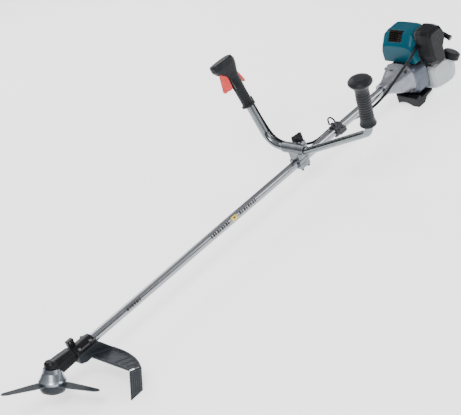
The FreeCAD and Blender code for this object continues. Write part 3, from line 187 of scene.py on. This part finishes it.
ALONG_TUBE = (0.02, 1, 1)
FINISHES = {
    "tube_aluminium": dict(
        color=(0.235, 0.245, 0.265), second=(0.29, 0.30, 0.32), rough=(0.18, 0.26),
        metal=1.0, patch=9, grain=700, bump=0.05, stretch=ALONG_TUBE),
    "bar_aluminium": dict(
        color=(0.165, 0.185, 0.20), second=(0.21, 0.235, 0.25), rough=(0.18, 0.28),
        metal=1.0, patch=20, grain=1200, bump=0.06),
    "holder_cast": dict(
        color=(0.13, 0.145, 0.158), second=(0.20, 0.215, 0.23), rough=(0.28, 0.42),
        metal=0.9, patch=60, grain=1500, bump=0.3, wear=(0.48, 0.50, 0.52)),
    "gear_case_cast": dict(
        color=(0.23, 0.26, 0.29), second=(0.30, 0.33, 0.36), rough=(0.24, 0.36),
        metal=0.95, patch=40, grain=1600, bump=0.15),
    "clutch_case_cast": dict(
        color=(0.19, 0.20, 0.225), second=(0.25, 0.262, 0.29), rough=(0.28, 0.44),
        metal=0.85, patch=50, grain=1700, bump=0.35),
    "fan_case_paint": dict(
        color=(0.062, 0.073, 0.096), second=(0.088, 0.102, 0.130), rough=(0.30, 0.42),
        metal=0.5, patch=30, grain=1500, bump=0.25, wear=(0.55, 0.60, 0.64)),
    "engine_cast": dict(
        color=(0.30, 0.31, 0.32), second=(0.40, 0.41, 0.42), rough=(0.42, 0.6),
        metal=0.85, patch=60, grain=1300, bump=0.5),
    "cover_plastic": dict(
        color=(0.004, 0.058, 0.088), second=(0.005, 0.072, 0.106), rough=(0.24, 0.33),
        specular=0.14, patch=8, grain=500, bump=0.03),
    "black_plastic": dict(
        color=(0.0045, 0.0048, 0.006), second=(0.008, 0.0085, 0.0105), rough=(0.26, 0.40),
        specular=0.16, patch=30, grain=1800, bump=0.25, wear=(0.04, 0.042, 0.048)),
    "guard_plastic": dict(
        color=(0.013, 0.0165, 0.0205), second=(0.021, 0.025, 0.031), rough=(0.28, 0.40),
        specular=0.16, patch=16, grain=1400, bump=0.22, wear=(0.07, 0.08, 0.09)),
    "grip_rubber": dict(
        color=(0.006, 0.0072, 0.0095), second=(0.011, 0.0128, 0.0165), rough=(0.38, 0.52),
        specular=0.16, patch=40, grain=2200, bump=0.35, sheen=0.1),
    "cable_jacket": dict(
        color=(0.005, 0.0045, 0.006), second=(0.009, 0.0085, 0.0105), rough=(0.30, 0.42),
        specular=0.16, patch=60, grain=900, bump=0.1),
    "hose_rubber": dict(
        color=(0.012, 0.011, 0.010), second=(0.022, 0.020, 0.018), rough=(0.30, 0.45),
        specular=0.16, patch=50, grain=900, bump=0.1),
    "red_plastic": dict(
        color=(0.60, 0.045, 0.040), second=(0.68, 0.070, 0.060), rough=(0.28, 0.4),
        specular=0.25, patch=50, grain=1200, bump=0.12),
    "tank_plastic": dict(
        color=(0.34, 0.375, 0.40), second=(0.43, 0.465, 0.49), rough=(0.24, 0.34),
        patch=12, grain=700, bump=0.05, inner=0.25),
    "blade_steel": dict(
        color=(0.016, 0.021, 0.026), second=(0.030, 0.037, 0.044), rough=(0.28, 0.42),
        metal=0.15, specular=0.22, patch=30, grain=420, bump=0.12, wear=(0.14, 0.16, 0.18)),
    "cup_steel": dict(
        color=(0.008, 0.011, 0.015), second=(0.016, 0.020, 0.025), rough=(0.26, 0.38),
        specular=0.22, patch=40, grain=900, bump=0.1, wear=(0.10, 0.12, 0.14)),
    "machined_steel": dict(
        color=(0.42, 0.43, 0.45), second=(0.52, 0.53, 0.55), rough=(0.24, 0.36),
        metal=1.0, patch=60, grain=900, bump=0.1),
    "screw_steel": dict(
        color=(0.012, 0.012, 0.014), second=(0.022, 0.022, 0.025), rough=(0.30, 0.42),
        metal=0.2, specular=0.2, patch=90, grain=1500, bump=0.15, wear=(0.07, 0.07, 0.075)),
    "muffler_steel": dict(
        color=(0.012, 0.008, 0.007), second=(0.026, 0.017, 0.014), rough=(0.40, 0.6),
        metal=0.7, specular=0.2, patch=50, grain=900, bump=0.2),
    "filter_foam": dict(
        color=(0.10, 0.10, 0.09), second=(0.18, 0.18, 0.16), rough=(0.8, 0.95),
        patch=300, grain=1200, bump=0.8, depth=0.001),
    "bush_plastic": dict(
        color=(0.62, 0.61, 0.57), second=(0.70, 0.69, 0.65), rough=(0.4, 0.5),
        patch=40, grain=900, bump=0.1),
}
FINISH = {slot: material(slot, **values) for slot, values in FINISHES.items()}
for node, item in NODES.items():
    for holder in item.material_slots:
        holder.material = FINISH[SLOT_OF[node]]

# ---------------------------------------------------------------- mesh tools

MERGE_GAP = 1e-6
SMOOTH_FACTOR = 0.5


def own(piece, slot, body):
    """Links a new piece, gives it its finish and its body."""
    if piece.name not in bpy.context.scene.collection.objects:
        bpy.context.scene.collection.objects.link(piece)
    if not piece.data.materials:
        piece.data.materials.append(FINISH[slot])
    if body:
        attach(piece, body)
    return piece


def settled(piece, name):
    """A plain mesh of the piece with its modifiers worked out."""
    bpy.context.view_layer.update()
    graph = bpy.context.evaluated_depsgraph_get()
    mesh = bpy.data.meshes.new_from_object(piece.evaluated_get(graph), depsgraph=graph)
    mesh.name = name
    bpy.data.objects.remove(piece)
    result = bpy.data.objects.new(name, mesh)
    bpy.context.scene.collection.objects.link(result)
    return result


def solid_from(name, build, slot, body, smooth=True, place=None):
    """A new piece from a function that fills a bmesh, moved to its place when one is given."""
    mesh = bpy.data.meshes.new(name)
    edit = bmesh.new()
    build(edit)
    bmesh.ops.recalc_face_normals(edit, faces=edit.faces)
    edit.to_mesh(mesh)
    edit.free()
    piece = bpy.data.objects.new(name, mesh)
    if place:
        mesh.transform(place)
    if smooth:
        mesh.shade_smooth()
    return own(piece, slot, body)


def moulded(node, voxel, passes):
    """Replaces a CAD node by the same shape with softly rounded edges."""
    mesh = NODES[node].data.copy()
    mesh.materials.clear()
    edit = bmesh.new()
    edit.from_mesh(mesh)
    bmesh.ops.remove_doubles(edit, verts=edit.verts, dist=MERGE_GAP)
    edit.to_mesh(mesh)
    edit.free()
    rough = bpy.data.objects.new(node + "_rough", mesh)
    bpy.context.scene.collection.objects.link(rough)
    remesh = rough.modifiers.new("remesh", "REMESH")
    remesh.mode = "VOXEL"
    remesh.voxel_size = voxel
    smooth = rough.modifiers.new("smooth", "SMOOTH")
    smooth.factor = SMOOTH_FACTOR
    smooth.iterations = passes
    piece = settled(rough, node + "_moulded")
    piece.data.materials.clear()
    piece.data.shade_smooth()
    own(piece, SLOT_OF[node], BODY_OF[node])
    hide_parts(node)
    return piece


def nurbs_line(points, name):
    """One smooth open line that is drawn towards a route's control points."""
    curve = bpy.data.curves.new(name, "CURVE")
    curve.dimensions = "3D"
    curve.resolution_u = 10
    spline = curve.splines.new("NURBS")
    spline.points.add(len(points) - 1)
    for knot, point in zip(spline.points, points):
        knot.co = (*point, 1)
    spline.order_u = 3
    spline.use_endpoint_u = True
    holder = bpy.data.objects.new(name, curve)
    bpy.context.scene.collection.objects.link(holder)
    return holder


NEARLY_UPRIGHT = 0.01


def across_line(ahead):
    """A unit direction square to a line, level wherever the line isn't upright."""
    side = ahead.cross(Vector((0, 0, 1)))
    if side.length < NEARLY_UPRIGHT:
        side = ahead.cross(Vector((0, 1, 0)))
    return side.normalized()


def tube_along(edit, points, radius, count=10):
    """A round bead that follows a line of points."""
    rings = []
    for n, point in enumerate(points):
        before = points[max(n - 1, 0)]
        after = points[min(n + 1, len(points) - 1)]
        ahead = (after - before).normalized()
        side = across_line(ahead)
        up = side.cross(ahead)
        ring = []
        for k in range(count):
            turn = 2 * math.pi * k / count
            ring.append(edit.verts.new(point + (side * math.cos(turn) + up * math.sin(turn)) * radius))
        rings.append(ring)
    for a, b in zip(rings, rings[1:]):
        for k in range(count):
            m = (k + 1) % count
            edit.faces.new((a[k], a[m], b[m], b[k]))
    edit.faces.new(rings[0][::-1])
    edit.faces.new(rings[-1])


# ---------------------------------------------------------------- throttle cable

CABLE_ROUTE = [
    (17, 146.35, 185), (17, 125, 108), (17, 103, 64), (19, 72, 46), (38, 42, 33), (66, 24, 16),
    (98, 17.9, 5.5), (140, 20.6, 2), (187, 27.2, 0), (236, 20.5, -12), (292, 3, -20.5), (345, -17, -16),
    (396, -28, -4), (440, -36, 15), (484, -50, 42), (526, -64, 66), (562, -70, 88), (594, -58.5, 93),
]
CABLE_RADIUS = 0.0045


def make_cable():
    """Jacketed cable from the throttle grip to the air cleaner, bending where the bar turns."""
    line = nurbs_line([at(*p) for p in CABLE_ROUTE], "cable_line")
    line.data.bevel_depth = CABLE_RADIUS
    line.data.bevel_resolution = 6
    line.data.use_fill_caps = True
    cable = settled(line, "throttle_cable_jacket")
    cable.data.shade_smooth()
    own(cable, "cable_jacket", None)
    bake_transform(cable)
    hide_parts("throttle_cable")


make_cable()

# ---------------------------------------------------------------- moulded and cast pieces

MOULDED = {
    # node: voxel and smoothing passes
    "guard": (0.0013, 3), "guard_extension": (0.0012, 2), "guard_clamp": (0.0008, 6),
    "gear_case_cover": (0.0008, 8), "left_grip": (0.0009, 5),
    "throttle_grip_left_shell": (0.0009, 5), "throttle_grip_right_shell": (0.0009, 5),
    "lock_off_lever": (0.0006, 5), "stop_switch": (0.0006, 4),
    "top_cover": (0.0011, 6), "air_cleaner_cover": (0.0010, 8), "fuel_tank": (0.0012, 8),
    "fuel_cap": (0.0008, 3), "engine_stand": (0.0010, 7),
    "fan_case": (0.0011, 5), "handle_holder": (0.0008, 5), "handle_clamp_cap": (0.0008, 5),
    "tube_clamp_cap": (0.0008, 4), "clamp_knob": (0.0008, 6),
    "starter_housing": (0.0011, 3), "starter_handle": (0.0008, 5), "muffler": (0.0012, 4),
}
moulds = {node: moulded(node, *how) for node, how in MOULDED.items()}

# ---------------------------------------------------------------- grips

ON_AXIS = 1e-5
RIB_PITCH = 0.0085
RIB_FADE = 0.006
RIB_SHARPNESS = 3


def reshaped(piece, origin, axis, change):
    """Moves each vertex in or out from an axis by change(height along the axis, reach from it)."""
    axis = axis.normalized()
    for vertex in piece.data.vertices:
        offset = vertex.co - origin
        height = offset.dot(axis)
        radial = offset - axis * height
        if radial.length < ON_AXIS:
            continue
        vertex.co += radial.normalized() * change(height, radial.length)
    piece.data.update()


def grip_ribs(low, high, depth, inner):
    """Rounded grooves round a grip between two heights, fading out at both ends."""
    def change(height, reach):
        if not low < height < high or reach < inner:
            return 0.0
        fade = min(1.0, (height - low) / RIB_FADE, (high - height) / RIB_FADE)
        wave = 0.5 + 0.5 * math.cos(2 * math.pi * height / RIB_PITCH)
        return -depth * fade * wave ** RIB_SHARPNESS
    return change


def make_grips():
    """Grooves round the left grip and round both shells of the throttle grip."""
    corner_up = LEFT_ARM_SPAN * math.tan(LEFT_RISE)
    left_foot_across = LEFT_CORNER_ACROSS - (LEFT_GRIP_UP - corner_up) * math.tan(LEFT_LEAN)
    left_foot = at(0, left_foot_across, BAR_HEIGHT + LEFT_GRIP_UP)
    left = Vector((0, -math.sin(LEFT_LEAN), math.cos(LEFT_LEAN)))
    left_ribs = grip_ribs(low=0.024, high=0.118, depth=0.0011, inner=0.018)
    reshaped(moulds["left_grip"], left_foot, left, left_ribs)
    right = Vector((0, math.sin(RIGHT_LEAN), math.cos(RIGHT_LEAN)))
    right_ribs = grip_ribs(low=0.014, high=0.070, depth=0.0009, inner=0.0145)
    for side in ("left", "right"):
        shell = moulds[f"throttle_grip_{side}_shell"]
        reshaped(shell, at(*THROTTLE_GRIP_FOOT), right, right_ribs)


# ---------------------------------------------------------------- blade

TOOTH_TURNS = (48, 168, 288)
TOOTH_ROOT = 0.0345
TOOTH_TIP = 0.1543
TOOTH_STEPS = 44
WAIST_REACH = 0.060
WAIST_HALF_WIDTH = 0.0225
ROOT_FLARE = 0.75
ROOT_FLARE_POWER = 1.6
SHOULDER_REACH = 0.135
SHOULDER_NARROWING = 0.0085
ROUND_TIP_LENGTH = 0.0195
ROUND_TIP_HALF_WIDTH = 0.0135
BLUNT_TIP_HALF_WIDTH = 0.0005
BLADE_HALF_THICKNESS = 0.0009
GROUND_HALF_THICKNESS = 0.00012
# Lines along a tooth as parts of its half width; the outermost are the ground edges
LANES = (-1.0, -0.80, -0.3, 0.3, 0.80, 1.0)
GROUND_LANE = 0.9
HUB_BORE = 0.0127
HUB_FLAT = 0.036
HUB_RIM = 0.0362
HUB_SIDES = 96
# Keeps the hub's faces just under the teeth's
HUB_THINNING = 0.999


def tooth_half_width(reach):
    """Half the width of a tooth at a distance from the blade's centre: broad root, round tip."""
    if reach < WAIST_REACH:
        return WAIST_HALF_WIDTH + (WAIST_REACH - reach) ** ROOT_FLARE_POWER * ROOT_FLARE
    if reach < SHOULDER_REACH:
        part = (reach - WAIST_REACH) / (SHOULDER_REACH - WAIST_REACH)
        return WAIST_HALF_WIDTH - part * SHOULDER_NARROWING
    ease = min(1.0, (reach - SHOULDER_REACH) / ROUND_TIP_LENGTH)
    return ROUND_TIP_HALF_WIDTH * math.sqrt(max(0.0, 1 - ease * ease)) + BLUNT_TIP_HALF_WIDTH


def tooth_face(edit, spin, side):
    """One face of a tooth as a grid of points, above or below the blade's middle plane."""
    length = TOOTH_TIP - TOOTH_ROOT
    grid = []
    for step in range(TOOTH_STEPS + 1):
        reach = TOOTH_ROOT + length * step / TOOTH_STEPS
        wide = tooth_half_width(reach)
        row = []
        for lane in LANES:
            height = BLADE_HALF_THICKNESS if abs(lane) < GROUND_LANE else GROUND_HALF_THICKNESS
            row.append(edit.verts.new(spin @ Vector((reach, wide * lane, height * side))))
        grid.append(row)
    for a, b in zip(grid, grid[1:]):
        for k in range(len(LANES) - 1):
            quad = (a[k], b[k], b[k + 1], a[k + 1])
            edit.faces.new(quad if side > 0 else quad[::-1])
    return grid


def add_tooth(edit, turn):
    """A closed tooth with ground bevels on both edges."""
    spin = Matrix.Rotation(math.radians(turn), 4, "Z")
    top = tooth_face(edit, spin, 1)
    bottom = tooth_face(edit, spin, -1)
    for k in (0, len(LANES) - 1):
        for n in range(TOOTH_STEPS):
            quad = (top[n][k], top[n + 1][k], bottom[n + 1][k], bottom[n][k])
            edit.faces.new(quad if k else quad[::-1])
    tip = [*top[-1], *reversed(bottom[-1])]
    edit.faces.new(tip[::-1])
    root = [*top[0], *reversed(bottom[0])]
    edit.faces.new(root)


def add_hub(edit):
    """The blade's disc with its bore."""
    half = BLADE_HALF_THICKNESS * HUB_THINNING
    outline = [(HUB_BORE, half), (HUB_FLAT, half), (HUB_RIM, 0), (HUB_FLAT, -half), (HUB_BORE, -half)]
    loops = []
    for radius, height in outline:
        loop = []
        for n in range(HUB_SIDES):
            turn = 2 * math.pi * n / HUB_SIDES
            loop.append(edit.verts.new((radius * math.cos(turn), radius * math.sin(turn), height)))
        loops.append(loop)
    loops.append(loops[0])
    for a, b in zip(loops, loops[1:]):
        for n in range(HUB_SIDES):
            m = (n + 1) % HUB_SIDES
            edit.faces.new((a[n], b[n], b[m], a[m]))


def make_blade():
    """Steel blade with three teeth, square to the tilted output shaft."""
    def teeth_and_hub(edit):
        for turn in TOOTH_TURNS:
            add_tooth(edit, turn)
        add_hub(edit)
    place = Matrix.Translation(at(HEAD_ALONG, 0, HEAD_UP)) @ Matrix.Rotation(HEAD_TILT, 4, "Y")
    blade = solid_from("blade_ground", teeth_and_hub, "blade_steel", "blade", smooth=False, place=place)
    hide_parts("cutter_blade")


# ---------------------------------------------------------------- labels

LABEL_COLUMNS = 24
LABEL_THICKNESS = 0.00008
# Just off the tube's 14 mm radius, in millimetres
LABEL_RADIUS = 14.04
MARK_RADIUS = 14.14
# Angles round the tube in degrees from its top
BLOCK_TURNS = (-88, -44)
WARNING_TURNS = (-92, -36)
MARK_TURNS = (-72, -52)


def sleeve(name, start, end, radius, turns, finish, slot):
    """Thin sheet lying on the drive tube, such as a label, between two angles round the tube."""
    low, high = turns
    mesh = bpy.data.meshes.new(name)
    edit = bmesh.new()
    rings = []
    for along in (start, end):
        ring = []
        for n in range(LABEL_COLUMNS + 1):
            turn = math.radians(low + (high - low) * n / LABEL_COLUMNS)
            ring.append(edit.verts.new(at(along, radius * math.sin(turn), radius * math.cos(turn))))
        rings.append(ring)
    for n in range(LABEL_COLUMNS):
        edit.faces.new((rings[0][n], rings[1][n], rings[1][n + 1], rings[0][n + 1]))
    bmesh.ops.recalc_face_normals(edit, faces=edit.faces)
    edit.to_mesh(mesh)
    edit.free()
    piece = bpy.data.objects.new(name, mesh)
    bpy.context.scene.collection.objects.link(piece)
    thick = piece.modifiers.new("thickness", "SOLIDIFY")
    thick.thickness = LABEL_THICKNESS
    piece = settled(piece, name)
    piece.data.materials.clear()
    piece.data.materials.append(finish)
    piece.data.shade_smooth()
    return own(piece, slot, "machine")


def make_labels():
    """Generic print on the tube: rows of plain blocks in place of any wording, and a warning patch."""
    ink = material("label_ink", (0.012, 0.012, 0.014), (0.020, 0.020, 0.023), (0.3, 0.4), bump=0.02)
    yellow = material("label_yellow", (0.78, 0.56, 0.03), (0.84, 0.62, 0.05), (0.3, 0.4), bump=0.02)
    blocks = [(-795, 9), (-783, 5), (-775, 8), (-764, 6), (-755, 9), (-743, 5)]
    blocks += [(-430 + 9.5 * n, 5 + 2 * (n % 2)) for n in range(9)]
    blocks += [(-300 + 10.0 * n, 6 - 2 * (n % 2)) for n in range(8)]
    for number, (start, length) in enumerate(blocks):
        name = f"label_block_{number}"
        sleeve(name, start, start + length, LABEL_RADIUS, BLOCK_TURNS, ink, "screw_steel")
    sleeve("label_warning", -335, -312, LABEL_RADIUS, WARNING_TURNS, yellow, "bush_plastic")
    sleeve("label_warning_mark", -328, -319, MARK_RADIUS, MARK_TURNS, ink, "screw_steel")


# ---------------------------------------------------------------- guard, hood and air cleaner details

# The guard in the head's frame, in millimetres: its rim is an arc about this centre
RIM_CENTRE_FORWARD = -65
RIM_CENTRE_ACROSS = -50
RIM_BEAD_REACH = 262.4
RIM_BEAD_UP = 57.2
FRONT_EDGE_FORWARD = 117.8
FRONT_EDGE_UP = 51.5
FRONT_BEAD_RADIUS = 0.0016
RIM_BEAD_RADIUS = 0.0020
ROOF_RIBS_ACROSS = (-176, -150, -124)
ROOF_RIB_START = 122
ROOF_RIB_REACH = 255
ROOF_RIB_UP = 55.1
ROOF_RIB_STEPS = 12
ROOF_RIB_RADIUS = 0.0010
# Hood and air cleaner, in millimetres from the tube's origin
SEAM_UP = 92
SEAM_ACROSS = 69.2
SEAM_MIDDLE = 600
SEAM_BOW = 0.0009
SEAM_RADIUS = 0.0006
CLEANER_FACE_ACROSS = -121.7
CLEANER_RIB_RADIUS = 0.0009


def guard_rim(across, radius):
    """How far forward an arc of the guard lies at a place across it."""
    return RIM_CENTRE_FORWARD + math.sqrt(radius ** 2 - (across - RIM_CENTRE_ACROSS) ** 2)


def roof_rib(across):
    """Points along one stiffening rib, from the front edge to the rim."""
    length = guard_rim(across, ROOF_RIB_REACH) - ROOF_RIB_START
    steps = range(ROOF_RIB_STEPS + 1)
    return [in_head(ROOF_RIB_START + n * length / ROOF_RIB_STEPS, across, ROOF_RIB_UP) for n in steps]


def make_guard_details():
    """Beads along the guard's front edge and rim, and stiffening ribs on its roof."""
    def beads(edit):
        front = [in_head(FRONT_EDGE_FORWARD, y, FRONT_EDGE_UP) for y in range(-186, 66, 6)]
        tube_along(edit, front, FRONT_BEAD_RADIUS)
        rim = [in_head(guard_rim(y, RIM_BEAD_REACH), y, RIM_BEAD_UP) for y in range(-184, 66, 5)]
        tube_along(edit, rim, RIM_BEAD_RADIUS)
    solid_from("guard_beads", beads, "guard_plastic", "machine")

    def ribs(edit):
        for across in ROOF_RIBS_ACROSS:
            tube_along(edit, roof_rib(across), ROOF_RIB_RADIUS, 8)
    solid_from("guard_ribs", ribs, "guard_plastic", "machine")


def make_hood_details():
    """A bowed seam line on the hood, and four ribs on the air cleaner."""
    def seam(edit):
        stations = range(575, 650, 5)
        line = [at(x, SEAM_ACROSS - SEAM_BOW * (x - SEAM_MIDDLE) ** 2, SEAM_UP) for x in stations]
        tube_along(edit, line, SEAM_RADIUS, 6)
    solid_from("hood_seam", seam, "cover_plastic", "machine")

    def ribs(edit):
        for number in range(4):
            foot = 56 + 15 * number
            rise = 1.2 if number % 2 else 0.6
            line = [at(598 + 4 * n, CLEANER_FACE_ACROSS, foot + rise * n) for n in range(9)]
            tube_along(edit, line, CLEANER_RIB_RADIUS, 8)
    solid_from("cleaner_ribs", ribs, "black_plastic", "machine")


# ---------------------------------------------------------------- starter rope

ROPE_PULL = Vector((0, -0.4509, 0.8926))
ROPE_RADIUS = 0.0019
ROPE_RINGS = 60
ROPE_SIDES = 12
# How far the rope reaches each way from the middle of its CAD solid
ROPE_TO_REEL = 0.027
ROPE_TO_HANDLE = 0.0262


def make_rope():
    """Starter rope, in many short rings along its line from the reel end to the handle end."""
    low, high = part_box("starter_rope")
    middle = (low + high) / 2
    start = middle - ROPE_PULL * ROPE_TO_REEL
    end = middle + ROPE_PULL * ROPE_TO_HANDLE

    def rope(edit):
        line = [start.lerp(end, n / ROPE_RINGS) for n in range(ROPE_RINGS + 1)]
        tube_along(edit, line, ROPE_RADIUS, ROPE_SIDES)
    piece = solid_from("starter_rope_braid", rope, "cable_jacket", None)
    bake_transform(piece)
    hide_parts("starter_rope")


make_grips()
make_blade()
make_labels()
make_guard_details()
make_hood_details()
make_rope()

# ---------------------------------------------------------------- stage, light and camera

FLOOR_REACH = 30.0
FLOOR_DROP = 0.0005
FLOOR_SHADE = (0.93, 0.93, 0.93, 1)
FLOOR_ROUGHNESS = 0.9
FLOOR_GLOW = 1.35
# Brightness of the surroundings by height: 0 is the horizon and all below it, 1 is straight above
SKY_LEVELS = ((0.0, 0.40), (0.05, 0.04), (0.25, 0.07), (0.50, 0.60), (1.0, 0.85))
SKY_BLUE = 1.02
# name: place, what it is aimed at, width and power
LIGHTS = {
    "key": ((-1.8, -1.6, 3.2), (0, 0, 0.2), 1.4, 110),
    "fill": ((2.4, -2.4, 1.8), (0.3, 0, 0.2), 1.6, 45),
    "rim": ((0.6, 2.6, 2.2), (0, 0, 0.2), 1.8, 60),
}
LENS = 117.14
SENSOR_WIDTH = 36
CAMERA_PLACE = (-2.3857, -3.1057, 2.3324)
CAMERA_RIGHT = Vector((0.65389, -0.68835, -0.31399))
CAMERA_UP = Vector((0.55599, 0.15572, 0.81647))
CAMERA_BACK = Vector((-0.51313, -0.70846, 0.48454))


def make_stage():
    """A wide pale floor, just under the machine's feet."""
    far = FLOOR_REACH
    mesh = bpy.data.meshes.new("floor")
    mesh.from_pydata([(-far, -far, 0), (far, -far, 0), (far, far, 0), (-far, far, 0)], [], [(0, 1, 2, 3)])
    floor = bpy.data.objects.new("floor", mesh)
    floor.location.z = -FLOOR_DROP
    pale = bpy.data.materials.new("floor_pale")
    pale.use_nodes = True
    shader = pale.node_tree.nodes["Principled BSDF"]
    shader.inputs["Base Color"].default_value = FLOOR_SHADE
    shader.inputs["Roughness"].default_value = FLOOR_ROUGHNESS
    shader.inputs["Emission Color"].default_value = (1, 1, 1, 1)
    shader.inputs["Emission Strength"].default_value = FLOOR_GLOW
    mesh.materials.append(pale)
    bpy.context.scene.collection.objects.link(floor)


def area_light(name, place, aim, size, power):
    light = bpy.data.lights.new(name, "AREA")
    light.shape = "SQUARE"
    light.size = size
    light.energy = power
    holder = bpy.data.objects.new(name, light)
    holder.location = place
    holder.rotation_euler = (Vector(aim) - Vector(place)).to_track_quat("-Z", "Y").to_euler()
    bpy.context.scene.collection.objects.link(holder)


def make_light():
    """Bright surroundings with a dark band just above the horizon, and three soft lamps."""
    world = bpy.data.worlds.new("studio")
    world.use_nodes = True
    tree = world.node_tree
    backdrop = tree.nodes["Background"]
    place = tree.nodes.new("ShaderNodeTexCoord")
    split = tree.nodes.new("ShaderNodeSeparateXYZ")
    sky = tree.nodes.new("ShaderNodeValToRGB")
    while len(sky.color_ramp.elements) < len(SKY_LEVELS):
        sky.color_ramp.elements.new(0.5)
    for element, (position, value) in zip(sky.color_ramp.elements, SKY_LEVELS):
        element.position = position
        element.color = (value, value, value * SKY_BLUE, 1)
    link(tree, place, "Generated", split, "Vector")
    link(tree, split, "Z", sky, "Fac")
    link(tree, sky, "Color", backdrop, "Color")
    backdrop.inputs["Strength"].default_value = 1.0
    bpy.context.scene.world = world
    for name, values in LIGHTS.items():
        area_light(name, *values)


def make_camera():
    """A long lens from the machine's front left, looking down at it."""
    lens = bpy.data.cameras.new("camera")
    lens.sensor_width = SENSOR_WIDTH
    lens.sensor_fit = "HORIZONTAL"
    lens.lens = LENS
    camera = bpy.data.objects.new("camera", lens)
    turn = Matrix((CAMERA_RIGHT, CAMERA_UP, CAMERA_BACK)).transposed().to_4x4()
    camera.matrix_world = Matrix.Translation(CAMERA_PLACE) @ turn
    bpy.context.scene.collection.objects.link(camera)
    bpy.context.scene.camera = camera


make_stage()
make_light()
make_camera()
